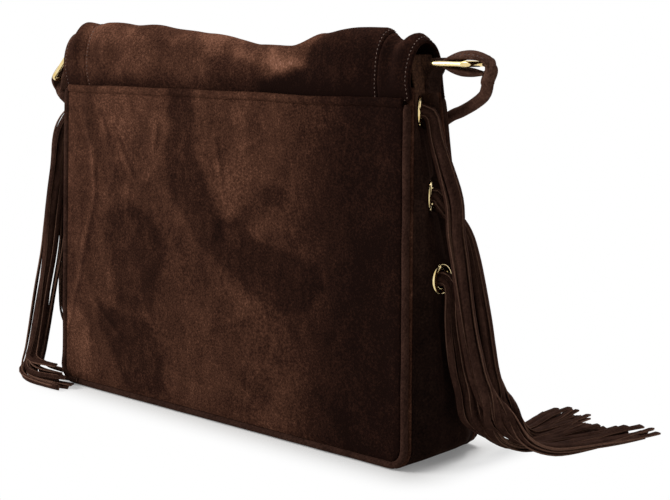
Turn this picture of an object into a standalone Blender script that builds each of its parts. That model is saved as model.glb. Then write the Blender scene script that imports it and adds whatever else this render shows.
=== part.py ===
"""Suede shoulder bag with a fold-over flap, a slip pocket on the back and fringe at both ends.

The origin is the centre of the underside. The slip pocket faces +Y, the flap hangs over the
front, -Y, and the two gussets with their fringe face -X and +X. Sizes are in metres.
"""

import math

import bmesh
import bpy
from mathutils import Matrix, Vector

# Body
BAG_WIDTH = 0.359
BODY_DEPTH = 0.077
BODY_HEIGHT = 0.258
SUEDE = 0.002
SEAM_GAP = 0.0003
CORNER_RADIUS = 0.015
FRONT_LEAN = 0.185
LEFT_FLARE = 0.0155
GUSSET_EDGE_GAP = 0.0006
GUSSET_ROUNDING = 0.6
GUSSET_SWELL = (
    (0.0, 0.0090), (0.23, 0.0090), (0.504, 0.0055), (0.721, 0.0010), (0.938, -0.0045), (0.99, 0.0),
)
GUSSET_SWAY = ((0.504, 0.0), (0.721, 0.0037), (0.938, 0.0027), (0.99, 0.0))
LINING = 0.0008
BOARD = 0.0022
BOARD_INSET = 0.002

# Slip pocket and piping
POCKET_DROP = 0.008
HEM_HEIGHT = 0.0045
HEM_SWELL = 0.0008
PIPING_RADIUS = 0.0026
PIPING_DROP = 0.003
FLOOR_GAP = 0.0006

# Flap
FLAP_SEWN = 0.014
FLAP_OVERHANG = 0.0005
FLAP_END_WIDTH = 0.028
FLAP_EASE = 0.0008
FLAP_BACK_SWELL = 0.0022
ARCH_RISE = 0.004
FLAP_HEM = 0.072
FLAP_HEM_RISE = 0.018
FLAP_CREST = (
    (-0.180, 0.0260), (-0.174, 0.0310), (-0.156, 0.0260), (-0.124, 0.0345), (-0.094, 0.0305),
    (-0.064, 0.0218), (-0.030, 0.0222), (0.022, 0.0305), (0.095, 0.0355), (0.140, 0.0380),
    (0.152, 0.0365), (0.166, 0.0380), (0.180, 0.0300),
)
RIDGE_LOW = (0.005, 0.0)
RIDGE_HIGH = (-0.105, 0.034)
RIDGE_WIDTH = 0.016
RIDGE_DEPTH = 0.0035

# Eyelets: how far below the mouth, the y, how far out from the side edge, and the turn in
# degrees by which each faces the front
EYELETS = (
    (0.016, 0.0255, -0.0050, 32.0),
    (0.072, 0.0198, 0.0000, 32.0),
    (0.128, 0.0133, 0.0055, 0.0),
)
EYELET_FLAT = 0.0108
EYELET_FLAT_END = 0.0140
EYELET_BORE = 0.0060
EYELET_WALL = 0.0008
EYELET_FLANGE = 0.0103
EYELET_LIP = 0.0010
EYELET_BEVEL = 0.0014
EYELET_RISE = 0.0014
EYELET_CLEARANCE = 0.0007
HOLE_CLEARANCE = 0.0005

# Rings, their tabs and the ends of the strap
HINGE_OUT = 0.0085
HINGE_Y = 0.020
HINGE_RISE = 0.0155
RING_LENGTH = 0.029
RING_WIDTH = 0.024
RING_WIRE = 0.0018
RING_CORNER = 0.0045
LEFT_RING_DROP = 43.0
TAB_WIDTH = 0.0145
TAB_LEATHER = 0.0015
TAB_RUNNING = 0.0003
TAB_DROP = 0.0035
TAB_FOOT_THICKNESS = 0.003
END_LEATHER = 0.002
END_SIDE_GAP = 0.0007
END_PROFILE = (
    (0.0402, -0.0048), (0.0388, 0.0010), (0.0340, 0.0055), (0.0260, 0.0078), (0.0170, 0.0072),
    (0.0105, 0.0044), (0.0082, 0.0000), (0.0105, -0.0044), (0.0170, -0.0070), (0.0250, -0.0074),
    (0.0320, -0.0066), (0.0366, -0.0062),
)
END_EDGE = 0.46
END_TIP_NARROWING = 0.55
END_TIP_POINTS = 3

# Strap, from the right ring round the front of the flap to the left ring
STRAP_RADIUS = 0.004
STRAP_POINTS = 54
STRAP_CLEARANCE = 0.0012
STRAP_RIGHT = (
    (-0.2256, 0.0200, 0.2634), (-0.2240, 0.0186, 0.2584), (-0.2160, 0.0110, 0.2528),
    (-0.2010, 0.0015, 0.2465), (-0.1860, -0.0060, 0.2412), (-0.1700, -0.0105, 0.2352),
)
STRAP_FRONT = (
    (-0.146, 0.216), (-0.116, 0.174), (-0.074, 0.136), (-0.026, 0.114), (0.022, 0.111),
    (0.070, 0.125), (0.112, 0.154), (0.142, 0.188),
)
STRAP_LEFT = (
    (0.166, -0.0165, 0.2120), (0.184, -0.0130, 0.2215), (0.1975, -0.0030, 0.2262),
    (0.2065, 0.0090, 0.2310), (0.2106, 0.0175, 0.2366), (0.2118, 0.0200, 0.2405),
)

# Fringe: one bundle of strands for each eyelet, top to bottom
STRANDS = 7
STRAND_WIDTH = 0.0036
STRAND_ROOT_WIDTH = 0.0029
STRAND_LEATHER = 0.0014
BUNDLE_ROOT = 0.0042
BUNDLE_WIDTH = 0.0066
BUNDLE_TIP_WIDTH = 0.0084
BUNDLE_DEPTH = 0.0042
BUNDLE_FLOOR_DEPTH = 0.0032
BUNDLE_SPREAD = 300.0
BAND_ROWS = 3
ROOT_STEPS = (0.0, 0.006, 0.010, 0.0145, 0.020, 0.028)
DROP_ROWS = 9
PATH_POINTS = 241
ROOT_INSIDE = 0.0040
ROOT_OUTSIDE = 0.0050
ROOT_FALL = 0.0050
ROOT_BEND = 0.0040
TWIST_TOP = 0.060
TWIST_FOOT = 0.014
SPREAD_START = 0.70
LENGTH_STEPS = (1.0, 0.93, 0.98, 0.90, 0.96, 0.92, 0.99)
# Each point is how far out from the body's side, its y, and its height on a body DRAWN_HEIGHT high
DRAWN_HEIGHT = 0.258
RIGHT_ROUTES = (
    (
        (0.0080, 0.0225, 0.2220), (0.0140, 0.0215, 0.2050), (0.0203, 0.0196, 0.1840),
        (0.0215, 0.0188, 0.1630), (0.0235, 0.0168, 0.1446), (0.0275, 0.0132, 0.1040),
        (0.0305, 0.0104, 0.0830), (0.0337, 0.0060, 0.0630), (0.0390, -0.0050, 0.0410),
        (0.0467, -0.0220, 0.0205), (0.0550, -0.0480, 0.0085), (0.0640, -0.0840, 0.0052),
        (0.0715, -0.1250, 0.0052), (0.0745, -0.1500, 0.0052),
    ),
    (
        (0.0125, 0.0000, 0.1630), (0.0170, -0.0040, 0.1446), (0.0235, -0.0080, 0.1040),
        (0.0260, -0.0100, 0.0830), (0.0280, -0.0135, 0.0630), (0.0280, -0.0260, 0.0410),
        (0.0255, -0.0460, 0.0205), (0.0205, -0.0720, 0.0085), (0.0155, -0.1060, 0.0052),
        (0.0085, -0.1560, 0.0052),
    ),
    (
        (0.0140, 0.0112, 0.1040), (0.0165, 0.0100, 0.0830), (0.0195, 0.0078, 0.0630),
        (0.0240, 0.0005, 0.0410), (0.0295, -0.0160, 0.0190), (0.0340, -0.0400, 0.0080),
        (0.0380, -0.0650, 0.0052), (0.0415, -0.1000, 0.0052), (0.0440, -0.1300, 0.0052),
    ),
)
LEFT_ROUTES = (
    (
        (0.0240, 0.0250, 0.2150), (0.0290, 0.0280, 0.1780), (0.0350, 0.0300, 0.1430),
        (0.0410, 0.0312, 0.1080), (0.0515, 0.0332, 0.0780), (0.0600, 0.0375, 0.0464),
        (0.0635, 0.0440, 0.0235), (0.0540, 0.0545, 0.0090), (0.0320, 0.0620, 0.0052),
        (0.0050, 0.0620, 0.0052), (-0.0150, 0.0580, 0.0052),
    ),
    (
        (0.0315, 0.0150, 0.1600), (0.0370, 0.0130, 0.1300), (0.0405, 0.0120, 0.0950),
        (0.0460, 0.0090, 0.0550), (0.0495, -0.0060, 0.0250), (0.0500, -0.0360, 0.0085),
        (0.0490, -0.0720, 0.0052), (0.0465, -0.1100, 0.0052),
    ),
    (
        (0.0265, 0.0122, 0.1080), (0.0290, 0.0110, 0.0800), (0.0310, 0.0060, 0.0520),
        (0.0330, -0.0110, 0.0250), (0.0315, -0.0400, 0.0085), (0.0285, -0.0780, 0.0052),
        (0.0245, -0.1180, 0.0052),
    ),
)

# Worked out from the sizes above
POCKET_HEIGHT = BODY_HEIGHT - POCKET_DROP
PIPING_TOP = POCKET_HEIGHT - PIPING_DROP
FLAP_START = POCKET_HEIGHT - FLAP_SEWN
ARCH_FOOT = BODY_HEIGHT + ARCH_RISE
HINGE_Z = BODY_HEIGHT + HINGE_RISE
TAB_FOOT = BODY_HEIGHT - TAB_DROP
HALF_WIDTH = BAG_WIDTH / 2
FLAP_EDGE = HALF_WIDTH + FLAP_OVERHANG
FLAP_SEAM = FLAP_EDGE - FLAP_END_WIDTH
HINGE_X = HALF_WIDTH + HINGE_OUT
BACK_FACE = BODY_DEPTH / 2
FRONT_FOOT = -BODY_DEPTH / 2
FLAP_BACK = BACK_FACE + SEAM_GAP + SUEDE / 2
POCKET_MIDDLE = FLAP_BACK + SEAM_GAP + SUEDE
PIPING_BACK = BACK_FACE + SEAM_GAP + PIPING_RADIUS
PIPING_INSET = PIPING_RADIUS - SEAM_GAP
PANEL_INSET = PIPING_INSET + PIPING_RADIUS + SEAM_GAP
PIPING_FLOOR = PIPING_RADIUS + FLOOR_GAP
STRAP_STANDOFF = FLAP_EASE + SUEDE + STRAP_CLEARANCE + STRAP_RADIUS
LEFT = 1
RIGHT = -1


def clear_scene():
    for item in list(bpy.data.objects):
        bpy.data.objects.remove(item)


def new_collection(name):
    group = bpy.data.collections.new(name)
    bpy.context.scene.collection.children.link(group)
    return group


def make_material(name, colour, roughness, metallic=0.0):
    material = bpy.data.materials.new(name)
    material.use_nodes = True
    shader = material.node_tree.nodes["Principled BSDF"]
    shader.inputs["Base Color"].default_value = (*colour, 1.0)
    shader.inputs["Roughness"].default_value = roughness
    shader.inputs["Metallic"].default_value = metallic
    return material


def add_object(name, data, material, group):
    item = bpy.data.objects.new(name, data)
    group.objects.link(item)
    data.materials.append(material)
    return item


def add_solidify(item, thickness):
    shell = item.modifiers.new("Thickness", "SOLIDIFY")
    shell.thickness = thickness
    shell.offset = 0.0


def add_flat_faces(item):
    """Splits the cells of a strongly bent sheet, so that each of its faces is flat."""
    item.modifiers.new("Flat faces", "TRIANGULATE")


def make_sheet(name, columns, rows, point, thickness, material, keep=None):
    """A grid of columns by rows cells, each corner placed by point(i, j), given a thickness."""
    mesh_builder = bmesh.new()
    bmesh.ops.create_grid(mesh_builder, x_segments=columns, y_segments=rows, size=0.5)
    cells = {}
    for face in mesh_builder.faces:
        centre = face.calc_center_median()
        cells[face] = (int((centre.x + 0.5) * columns), int((centre.y + 0.5) * rows))
    if keep:
        dropped = [face for face, cell in cells.items() if not keep(*cell)]
        bmesh.ops.delete(mesh_builder, geom=dropped, context="FACES")
    for vertex in mesh_builder.verts:
        i = round((vertex.co.x + 0.5) * columns)
        j = round((vertex.co.y + 0.5) * rows)
        vertex.co = point(i, j)
    mesh = bpy.data.meshes.new(name)
    mesh_builder.to_mesh(mesh)
    mesh_builder.free()
    mesh.shade_smooth()
    item = add_object(name, mesh, material, parts)
    add_solidify(item, thickness)
    return item


def make_plate(name, outlines, thickness, material, placing):
    """A flat outline, with any holes in it, drawn in local x and y and placed by a matrix."""
    curve = bpy.data.curves.new(name, "CURVE")
    curve.dimensions = "2D"
    curve.fill_mode = "BOTH"
    curve.extrude = thickness / 2
    for outline in outlines:
        spline = curve.splines.new("POLY")
        spline.points.add(len(outline) - 1)
        spline.use_cyclic_u = True
        for point, (x, y) in zip(spline.points, outline):
            point.co = (x, y, 0.0, 1.0)
    item = add_object(name, curve, material, parts)
    item.matrix_world = placing
    return item


def make_tube(name, route, radius, material, resolution=2, cyclic=False):
    curve = bpy.data.curves.new(name, "CURVE")
    curve.dimensions = "3D"
    curve.bevel_depth = radius
    curve.bevel_resolution = resolution
    curve.use_fill_caps = not cyclic
    spline = curve.splines.new("POLY")
    spline.points.add(len(route) - 1)
    spline.use_cyclic_u = cyclic
    for point, place in zip(spline.points, route):
        point.co = (*place, 1.0)
    return add_object(name, curve, material, parts)


def arc(centre, radius, start, end, steps):
    """Points of a circular arc between two angles in degrees, both ends included."""
    points = []
    for step in range(steps + 1):
        angle = math.radians(start + (end - start) * step / steps)
        points.append((centre[0] + radius * math.cos(angle), centre[1] + radius * math.sin(angle)))
    return points


def ease(value):
    """A smooth step from 0 to 1."""
    value = min(max(value, 0.0), 1.0)
    return value * value * (3 - 2 * value)


def height_at(points, x):
    """The height of a smooth line through (x, height) points."""
    if x <= points[0][0]:
        return points[0][1]
    for (x0, z0), (x1, z1) in zip(points, points[1:]):
        if x <= x1:
            return z0 + (z1 - z0) * ease((x - x0) / (x1 - x0))
    return points[-1][1]


def smooth_route(points, count):
    """Evenly spaced points of a smooth curve through a route's own points."""
    places = [Vector(point) for point in points]
    places = [2 * places[0] - places[1]] + places + [2 * places[-1] - places[-2]]
    fine = []
    for p0, p1, p2, p3 in zip(places, places[1:], places[2:], places[3:]):
        for step in range(16):
            t = step / 16
            fine.append(0.5 * (
                2 * p1 + (p2 - p0) * t + (2 * p0 - 5 * p1 + 4 * p2 - p3) * t ** 2
                + (3 * p1 - p0 - 3 * p2 + p3) * t ** 3
            ))
    fine.append(places[-2])
    lengths = [0.0]
    for here, there in zip(fine, fine[1:]):
        lengths.append(lengths[-1] + (there - here).length)
    even = []
    index = 0
    for step in range(count):
        wanted = lengths[-1] * step / (count - 1)
        while index < len(fine) - 2 and lengths[index + 1] < wanted:
            index += 1
        part = (wanted - lengths[index]) / (lengths[index + 1] - lengths[index])
        even.append(fine[index].lerp(fine[index + 1], part))
    return even


def side_edge(side, z):
    """How far the body's side lies from the middle: the left one flares towards the base."""
    flare = LEFT_FLARE * (1 - z / POCKET_HEIGHT) if side == LEFT else 0.0
    return HALF_WIDTH + max(flare, 0.0)


def front_face(z):
    """The y of the front panel's outer face, which leans back as it rises."""
    return FRONT_FOOT + FRONT_LEAN * z


def gusset_point(side, across, z, share=1.0):
    """A point of a gusset's middle surface, from its front seam, 0, to its back seam, 1.

    The gusset swells out at the base and folds in towards the mouth, and it lies flat under
    each eyelet.
    """
    front = front_face(z) + SUEDE + GUSSET_EDGE_GAP
    back = BACK_FACE - SUEDE - GUSSET_EDGE_GAP
    y = front + (back - front) * across
    height = z / BODY_HEIGHT
    rounding = ease((1 - abs(2 * across - 1)) / GUSSET_ROUNDING)
    stand = height_at(GUSSET_SWELL, height) * rounding * ease(share)
    stand -= height_at(GUSSET_SWAY, height) * math.sin(math.tau * across)
    x = side_edge(side, z) - SUEDE / 2 + stand
    for drop, seat_y, out, turn in EYELETS:
        seat_z = BODY_HEIGHT - drop
        turn = math.radians(turn)
        away = max(abs(y - seat_y) / math.cos(turn), abs(z - seat_z))
        flat = ease((EYELET_FLAT_END - away) / (EYELET_FLAT_END - EYELET_FLAT))
        plane = side_edge(side, seat_z) + out - SUEDE / 2 / math.cos(turn)
        plane += (y - seat_y) * math.tan(turn)
        x += (plane - x) * flat
    return Vector((side * x, y, z))


def eyelet_seat(side, eyelet):
    """The middle of an eyelet on the gusset's outer face, and the direction that it faces."""
    drop, y, out, turn = eyelet
    z = BODY_HEIGHT - drop
    facing = Vector((side * math.cos(math.radians(turn)), -math.sin(math.radians(turn)), 0))
    return Vector((side * (side_edge(side, z) + out), y, z)), facing


def panel_outline(inset, top, floor):
    """A wall's outline in x and z: straight top, round lower corners."""
    radius = CORNER_RADIUS - inset
    points = []
    for side, start, end in ((RIGHT, 180, 270), (LEFT, 270, 360)):
        foot = side * (side_edge(side, 0.0) - inset - radius)
        corner = arc((foot, floor + radius), radius, start, end, 5)
        head = (side * (side_edge(side, top) - inset), top)
        points += [head] + corner if side == RIGHT else corner + [head]
    return points


def corner_path(inset, floor):
    """The line of the piping: down one side, along the bottom and up the other side."""
    return panel_outline(inset, PIPING_TOP, floor)


def make_walls():
    upright = Matrix.Rotation(math.radians(90), 4, "X")
    back = Matrix.Translation((0, BACK_FACE - SUEDE / 2, 0)) @ upright
    make_plate("back_panel", [panel_outline(0, BODY_HEIGHT, 0)], SUEDE, suede, back)
    lean = Matrix.Rotation(-math.atan(FRONT_LEAN), 4, "X")
    front = Matrix.Translation((0, FRONT_FOOT + SUEDE / 2, FLOOR_GAP)) @ lean @ upright
    make_plate("front_panel", [panel_outline(0, BODY_HEIGHT, 0)], SUEDE, suede, front)


def make_pocket():
    outline = panel_outline(PANEL_INSET, POCKET_HEIGHT, PIPING_FLOOR + PIPING_RADIUS + SEAM_GAP)
    half = len(outline) // 2
    hem = (
        (POCKET_HEIGHT - HEM_HEIGHT * 1.3, 0.0), (POCKET_HEIGHT - HEM_HEIGHT, -0.3 * HEM_SWELL),
        (POCKET_HEIGHT - HEM_HEIGHT * 0.8, HEM_SWELL), (POCKET_HEIGHT - HEM_HEIGHT * 0.3, HEM_SWELL),
        (POCKET_HEIGHT, 0.0),
    )
    rows = [(right[0], left[0], right[1], 0.0) for right, left
            in zip(reversed(outline[1:half]), outline[half:-1])]
    for z, swell in hem:
        rows.append((-(side_edge(RIGHT, z) - PANEL_INSET), side_edge(LEFT, z) - PANEL_INSET, z, swell))

    def point(i, j):
        right, left, z, swell = rows[j]
        return Vector((right + (left - right) * i / 2, POCKET_MIDDLE + swell, z))

    make_sheet("back_pocket", 2, len(rows) - 1, point, SUEDE, suede)


def make_base():
    inner_front = FRONT_FOOT + SUEDE + GUSSET_EDGE_GAP
    inner_back = BACK_FACE - SUEDE - SEAM_GAP
    right = -(side_edge(RIGHT, 0) - CORNER_RADIUS) + SEAM_GAP
    left = side_edge(LEFT, 0) - CORNER_RADIUS - SEAM_GAP

    def base_point(i, j):
        return Vector((left if i else right, inner_back if j else inner_front, SUEDE / 2))

    make_sheet("base_panel", 1, 1, base_point, SUEDE, suede)

    def board_point(i, j):
        x = left - BOARD_INSET if i else right + BOARD_INSET
        y = inner_back - BOARD_INSET if j else inner_front + BOARD_INSET
        return Vector((x, y, SUEDE + SEAM_GAP + BOARD / 2))

    make_sheet("base_board", 1, 1, board_point, BOARD, board)


def make_lining():
    """A straight bag inside the walls, leaning in at the mouth behind the gussets' folds."""
    fold = max(EYELET_FLAT_END * math.sin(math.radians(turn)) - out for _, _, out, turn in EYELETS)
    floor = SUEDE + BOARD + 2 * SEAM_GAP + LINING / 2
    top = BODY_HEIGHT - 2 * LINING
    bend = CORNER_RADIUS / 2
    shell = bmesh.new()
    bmesh.ops.create_cube(shell, size=1.0)
    lid = [face for face in shell.faces if face.normal.z > 0.5]
    bmesh.ops.delete(shell, geom=lid, context="FACES")
    for vertex in shell.verts:
        z = top if vertex.co.z > 0 else floor
        side = LEFT if vertex.co.x > 0 else RIGHT
        reach = side_edge(side, z) - SUEDE - 2 * SEAM_GAP - LINING
        reach -= fold if vertex.co.z > 0 else bend
        back = BACK_FACE - SUEDE - SEAM_GAP - LINING / 2
        front = front_face(z) + SUEDE + 3 * SEAM_GAP + LINING / 2
        vertex.co = (side * reach, back if vertex.co.y > 0 else front, z)
    mesh = bpy.data.meshes.new("lining")
    shell.to_mesh(mesh)
    shell.free()
    add_solidify(add_object("lining", mesh, cloth, parts), LINING)


def make_gusset(name, side):
    inset = SUEDE / 2
    radius = CORNER_RADIUS - inset
    rows = []
    for x, z in arc((-radius, CORNER_RADIUS), radius, 270, 360, 4):
        rows.append((x, z, z / CORNER_RADIUS))
    lowest = BODY_HEIGHT - EYELETS[-1][0] - EYELET_FLAT_END
    heights = [CORNER_RADIUS + (lowest - CORNER_RADIUS) * step / 4 for step in (1, 2, 3)]
    heights.append(BODY_HEIGHT)
    for drop, _, _, _ in EYELETS:
        for step in (-EYELET_FLAT_END, -EYELET_FLAT, 0.0, EYELET_FLAT, EYELET_FLAT_END):
            heights.append(BODY_HEIGHT - drop + step)
    heights += [BODY_HEIGHT - (EYELETS[0][0] + EYELETS[1][0]) / 2]
    heights += [BODY_HEIGHT - (EYELETS[1][0] + EYELETS[2][0]) / 2]
    rows += [(0.0, z, 1.0) for z in sorted(heights)]
    columns = 12

    def point(i, j):
        inward, z, share = rows[j]
        place = gusset_point(side, i / columns, z, share)
        place.x += side * inward
        return place

    gusset = make_sheet(name, columns, len(rows) - 1, point, SUEDE, suede_dark)
    add_flat_faces(gusset)
    for number, eyelet in enumerate(EYELETS, 1):
        middle, facing = eyelet_seat(side, eyelet)
        bpy.ops.mesh.primitive_cylinder_add(
            vertices=20, radius=EYELET_BORE + EYELET_WALL + HOLE_CLEARANCE, depth=4 * SUEDE,
            location=middle, rotation=facing.to_track_quat("Z", "Y").to_euler(),
        )
        cutter = bpy.context.object
        cutter.name = f"{name}_hole_{number}"
        for group in list(cutter.users_collection):
            group.objects.unlink(cutter)
        cutters.objects.link(cutter)
        cutter.hide_render = True
        cutter.display_type = "WIRE"
        cut = gusset.modifiers.new(f"Hole {number}", "BOOLEAN")
        cut.operation = "DIFFERENCE"
        cut.solver = "EXACT"
        cut.object = cutter


def make_piping():
    back = [(x, PIPING_BACK, z) for x, z in corner_path(PIPING_INSET, PIPING_FLOOR)]
    make_tube("piping_back", back, PIPING_RADIUS, suede)
    standoff = (PIPING_RADIUS + SEAM_GAP) * math.hypot(1, FRONT_LEAN) + SEAM_GAP
    front = [(x, front_face(z) - standoff, z) for x, z in corner_path(PIPING_INSET, PIPING_FLOOR)]
    make_tube("piping_front", front, PIPING_RADIUS, suede)


def ridge_at(x, rise):
    """The slanting fold across the back of the flap, at a rise above the arch's foot."""
    start = Vector(RIDGE_LOW)
    along = Vector(RIDGE_HIGH) - start
    offset = Vector((x, rise)) - start
    share = offset.dot(along) / along.length_squared
    away = (offset - along * min(max(share, 0.0), 1.0)).length
    return RIDGE_DEPTH * math.exp(-(away / RIDGE_WIDTH) ** 2)


def flap_rows(x):
    """The flap's middle surface at one x, from its back edge over the top to its front hem."""
    crest = height_at(FLAP_CREST, x) - SUEDE / 2
    back = FLAP_BACK + FLAP_BACK_SWELL
    front = front_face(ARCH_FOOT) - FLAP_EASE - SUEDE / 2
    rows = [(FLAP_BACK, FLAP_START), (FLAP_BACK, PIPING_TOP), (FLAP_BACK, POCKET_HEIGHT + 0.002)]
    middle = (back + front) / 2
    reach = (back - front) / 2
    for step in range(9):
        angle = math.radians(180 * step / 8)
        y = middle + reach * math.cos(angle)
        z = ARCH_FOOT + crest * math.sin(angle)
        if step < 4:
            y += ridge_at(x, z - ARCH_FOOT)
        rows.append((y, z))
    hem = FLAP_HEM + FLAP_HEM_RISE * (abs(x) / FLAP_EDGE) ** 4
    for share in (0.065, 0.076, 0.35, 0.68, 1.0):
        z = ARCH_FOOT + (hem - ARCH_FOOT) * share
        rows.append((front_face(z) - FLAP_EASE - SUEDE / 2, z))
    return rows


def make_flap():
    row_count = len(flap_rows(0.0)) - 1
    tucked = FLAP_EDGE - HALF_WIDTH + PANEL_INSET
    first_wide = 2
    last_wide = row_count - 4

    def place(x, j):
        y, z = flap_rows(x)[j]
        hidden = j < first_wide or j > last_wide
        if hidden:
            x *= 1 - tucked / FLAP_EDGE * ease((abs(x) - FLAP_SEAM) / (FLAP_EDGE - FLAP_SEAM))
        return Vector((x, y, z))

    def strip(name, start, end, columns):
        make_sheet(name, columns, row_count, lambda i, j: place(start + (end - start) * i / columns, j),
                   SUEDE, suede)

    strip("flap_end_right", -FLAP_EDGE, -FLAP_SEAM - SEAM_GAP, 4)
    strip("flap_centre", -FLAP_SEAM, FLAP_SEAM, 24)
    strip("flap_end_left", FLAP_SEAM + SEAM_GAP, FLAP_EDGE, 4)


def make_eyelet(name, side, place):
    """A turned ring: a barrel through the hole and a round flange on the outer face."""
    seat = SUEDE / 2 + EYELET_CLEARANCE
    barrel = EYELET_BORE + EYELET_WALL
    profile = (
        (EYELET_BORE, seat + 0.6 * EYELET_RISE), (EYELET_BORE + EYELET_LIP, seat + EYELET_RISE),
        (EYELET_FLANGE - EYELET_BEVEL, seat + EYELET_RISE), (EYELET_FLANGE, seat + 0.4 * EYELET_RISE),
        (EYELET_FLANGE, seat), (barrel, seat), (barrel, -seat), (EYELET_BORE, -seat),
    )
    mesh = bpy.data.meshes.new(name)
    line = bmesh.new()
    points = [line.verts.new((radius, 0, height)) for radius, height in profile]
    for here, there in zip(points, points[1:] + points[:1]):
        line.edges.new((here, there))
    line.to_mesh(mesh)
    line.free()
    eyelet = add_object(name, mesh, gold, parts)
    turn = eyelet.modifiers.new("Turned", "SCREW")
    turn.steps = 18
    turn.render_steps = 18
    turn.merge_threshold = 0.00001
    turn.use_merge_vertices = True
    middle, facing = eyelet_seat(side, place)
    eyelet.rotation_euler = facing.to_track_quat("Z", "Y").to_euler()
    eyelet.location = middle - facing * SUEDE / 2


def ring_frame(side):
    """The place of a ring: x out along the ring, y across it, z up, with the origin on its hinge."""
    turn = Matrix.Rotation(math.radians(LEFT_RING_DROP if side == LEFT else 0), 4, "Y")
    face = Matrix.Rotation(math.radians(180), 4, "Z") if side == RIGHT else Matrix.Identity(4)
    return Matrix.Translation((side * HINGE_X, HINGE_Y, HINGE_Z)) @ turn @ face


def make_ring(name, side):
    half = RING_WIDTH / 2 - RING_CORNER
    route = []
    for x, y, start in (
        (RING_LENGTH - RING_CORNER, half, 0), (RING_CORNER, half, 90),
        (RING_CORNER, -half, 180), (RING_LENGTH - RING_CORNER, -half, 270),
    ):
        route += [(px, py, 0.0) for px, py in arc((x, y), RING_CORNER, start, start + 90, 5)]
    ring = make_tube(name, route, RING_WIRE, gold, resolution=3, cyclic=True)
    ring.matrix_world = ring_frame(side)


def make_tab(name, side):
    """A suede loop round the ring's inner bar, with its tail on the gusset."""
    bore = RING_WIRE + TAB_RUNNING
    outer = bore + TAB_LEATHER
    wall = side_edge(side, TAB_FOOT) + 2 * SEAM_GAP - HINGE_X
    foot = TAB_FOOT - HINGE_Z
    outline = arc((0, 0), outer, -10, 190, 10)
    outline += [(wall, -outer * 1.6), (wall, foot), (wall + TAB_FOOT_THICKNESS, foot)]
    outline += [(wall + TAB_FOOT_THICKNESS * 1.3, -outer * 2.2)]
    hole = arc((0, 0), bore, 360, 30, 11)
    upright = Matrix.Rotation(math.radians(90), 4, "X")
    face = Matrix.Rotation(math.radians(180), 4, "Z") if side == RIGHT else Matrix.Identity(4)
    placing = Matrix.Translation((side * HINGE_X, HINGE_Y, HINGE_Z)) @ face @ upright
    make_plate(name, [outline, hole], TAB_WIDTH, suede_dark, placing)


def make_strap_end(name, side):
    """The flattened end of the strap, folded through the ring, in the ring's own frame."""
    frame = ring_frame(side)
    half = RING_WIDTH / 2 - RING_WIRE - END_SIDE_GAP
    last = len(END_PROFILE) - 1

    def point(i, j):
        x, z = END_PROFILE[j]
        from_tip = min(j, last - j) / END_TIP_POINTS
        width = half * (1 - END_TIP_NARROWING * (1 - ease(from_tip)))
        across = i / 2 - 1
        crown = 1 - (1 - END_EDGE) * across * across * ease(from_tip)
        return frame @ Vector((x, width * across, z * crown))

    add_flat_faces(make_sheet(name, 4, last, point, END_LEATHER, suede))


def make_strap():
    route = list(STRAP_RIGHT)
    route += [(x, front_face(z) - STRAP_STANDOFF, z) for x, z in STRAP_FRONT]
    route += list(STRAP_LEFT)
    make_tube("strap", smooth_route(route, STRAP_POINTS), STRAP_RADIUS, suede)


def carried_frames(path, across):
    """Directions across and out from each point of a path, turned as little as possible."""
    frames = []
    for index, place in enumerate(path):
        before = path[max(index - 1, 0)]
        after = path[min(index + 1, len(path) - 1)]
        along = (after - before).normalized()
        across = (across - along * across.dot(along)).normalized()
        frames.append((place, across, across.cross(along).normalized()))
    return frames


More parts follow.
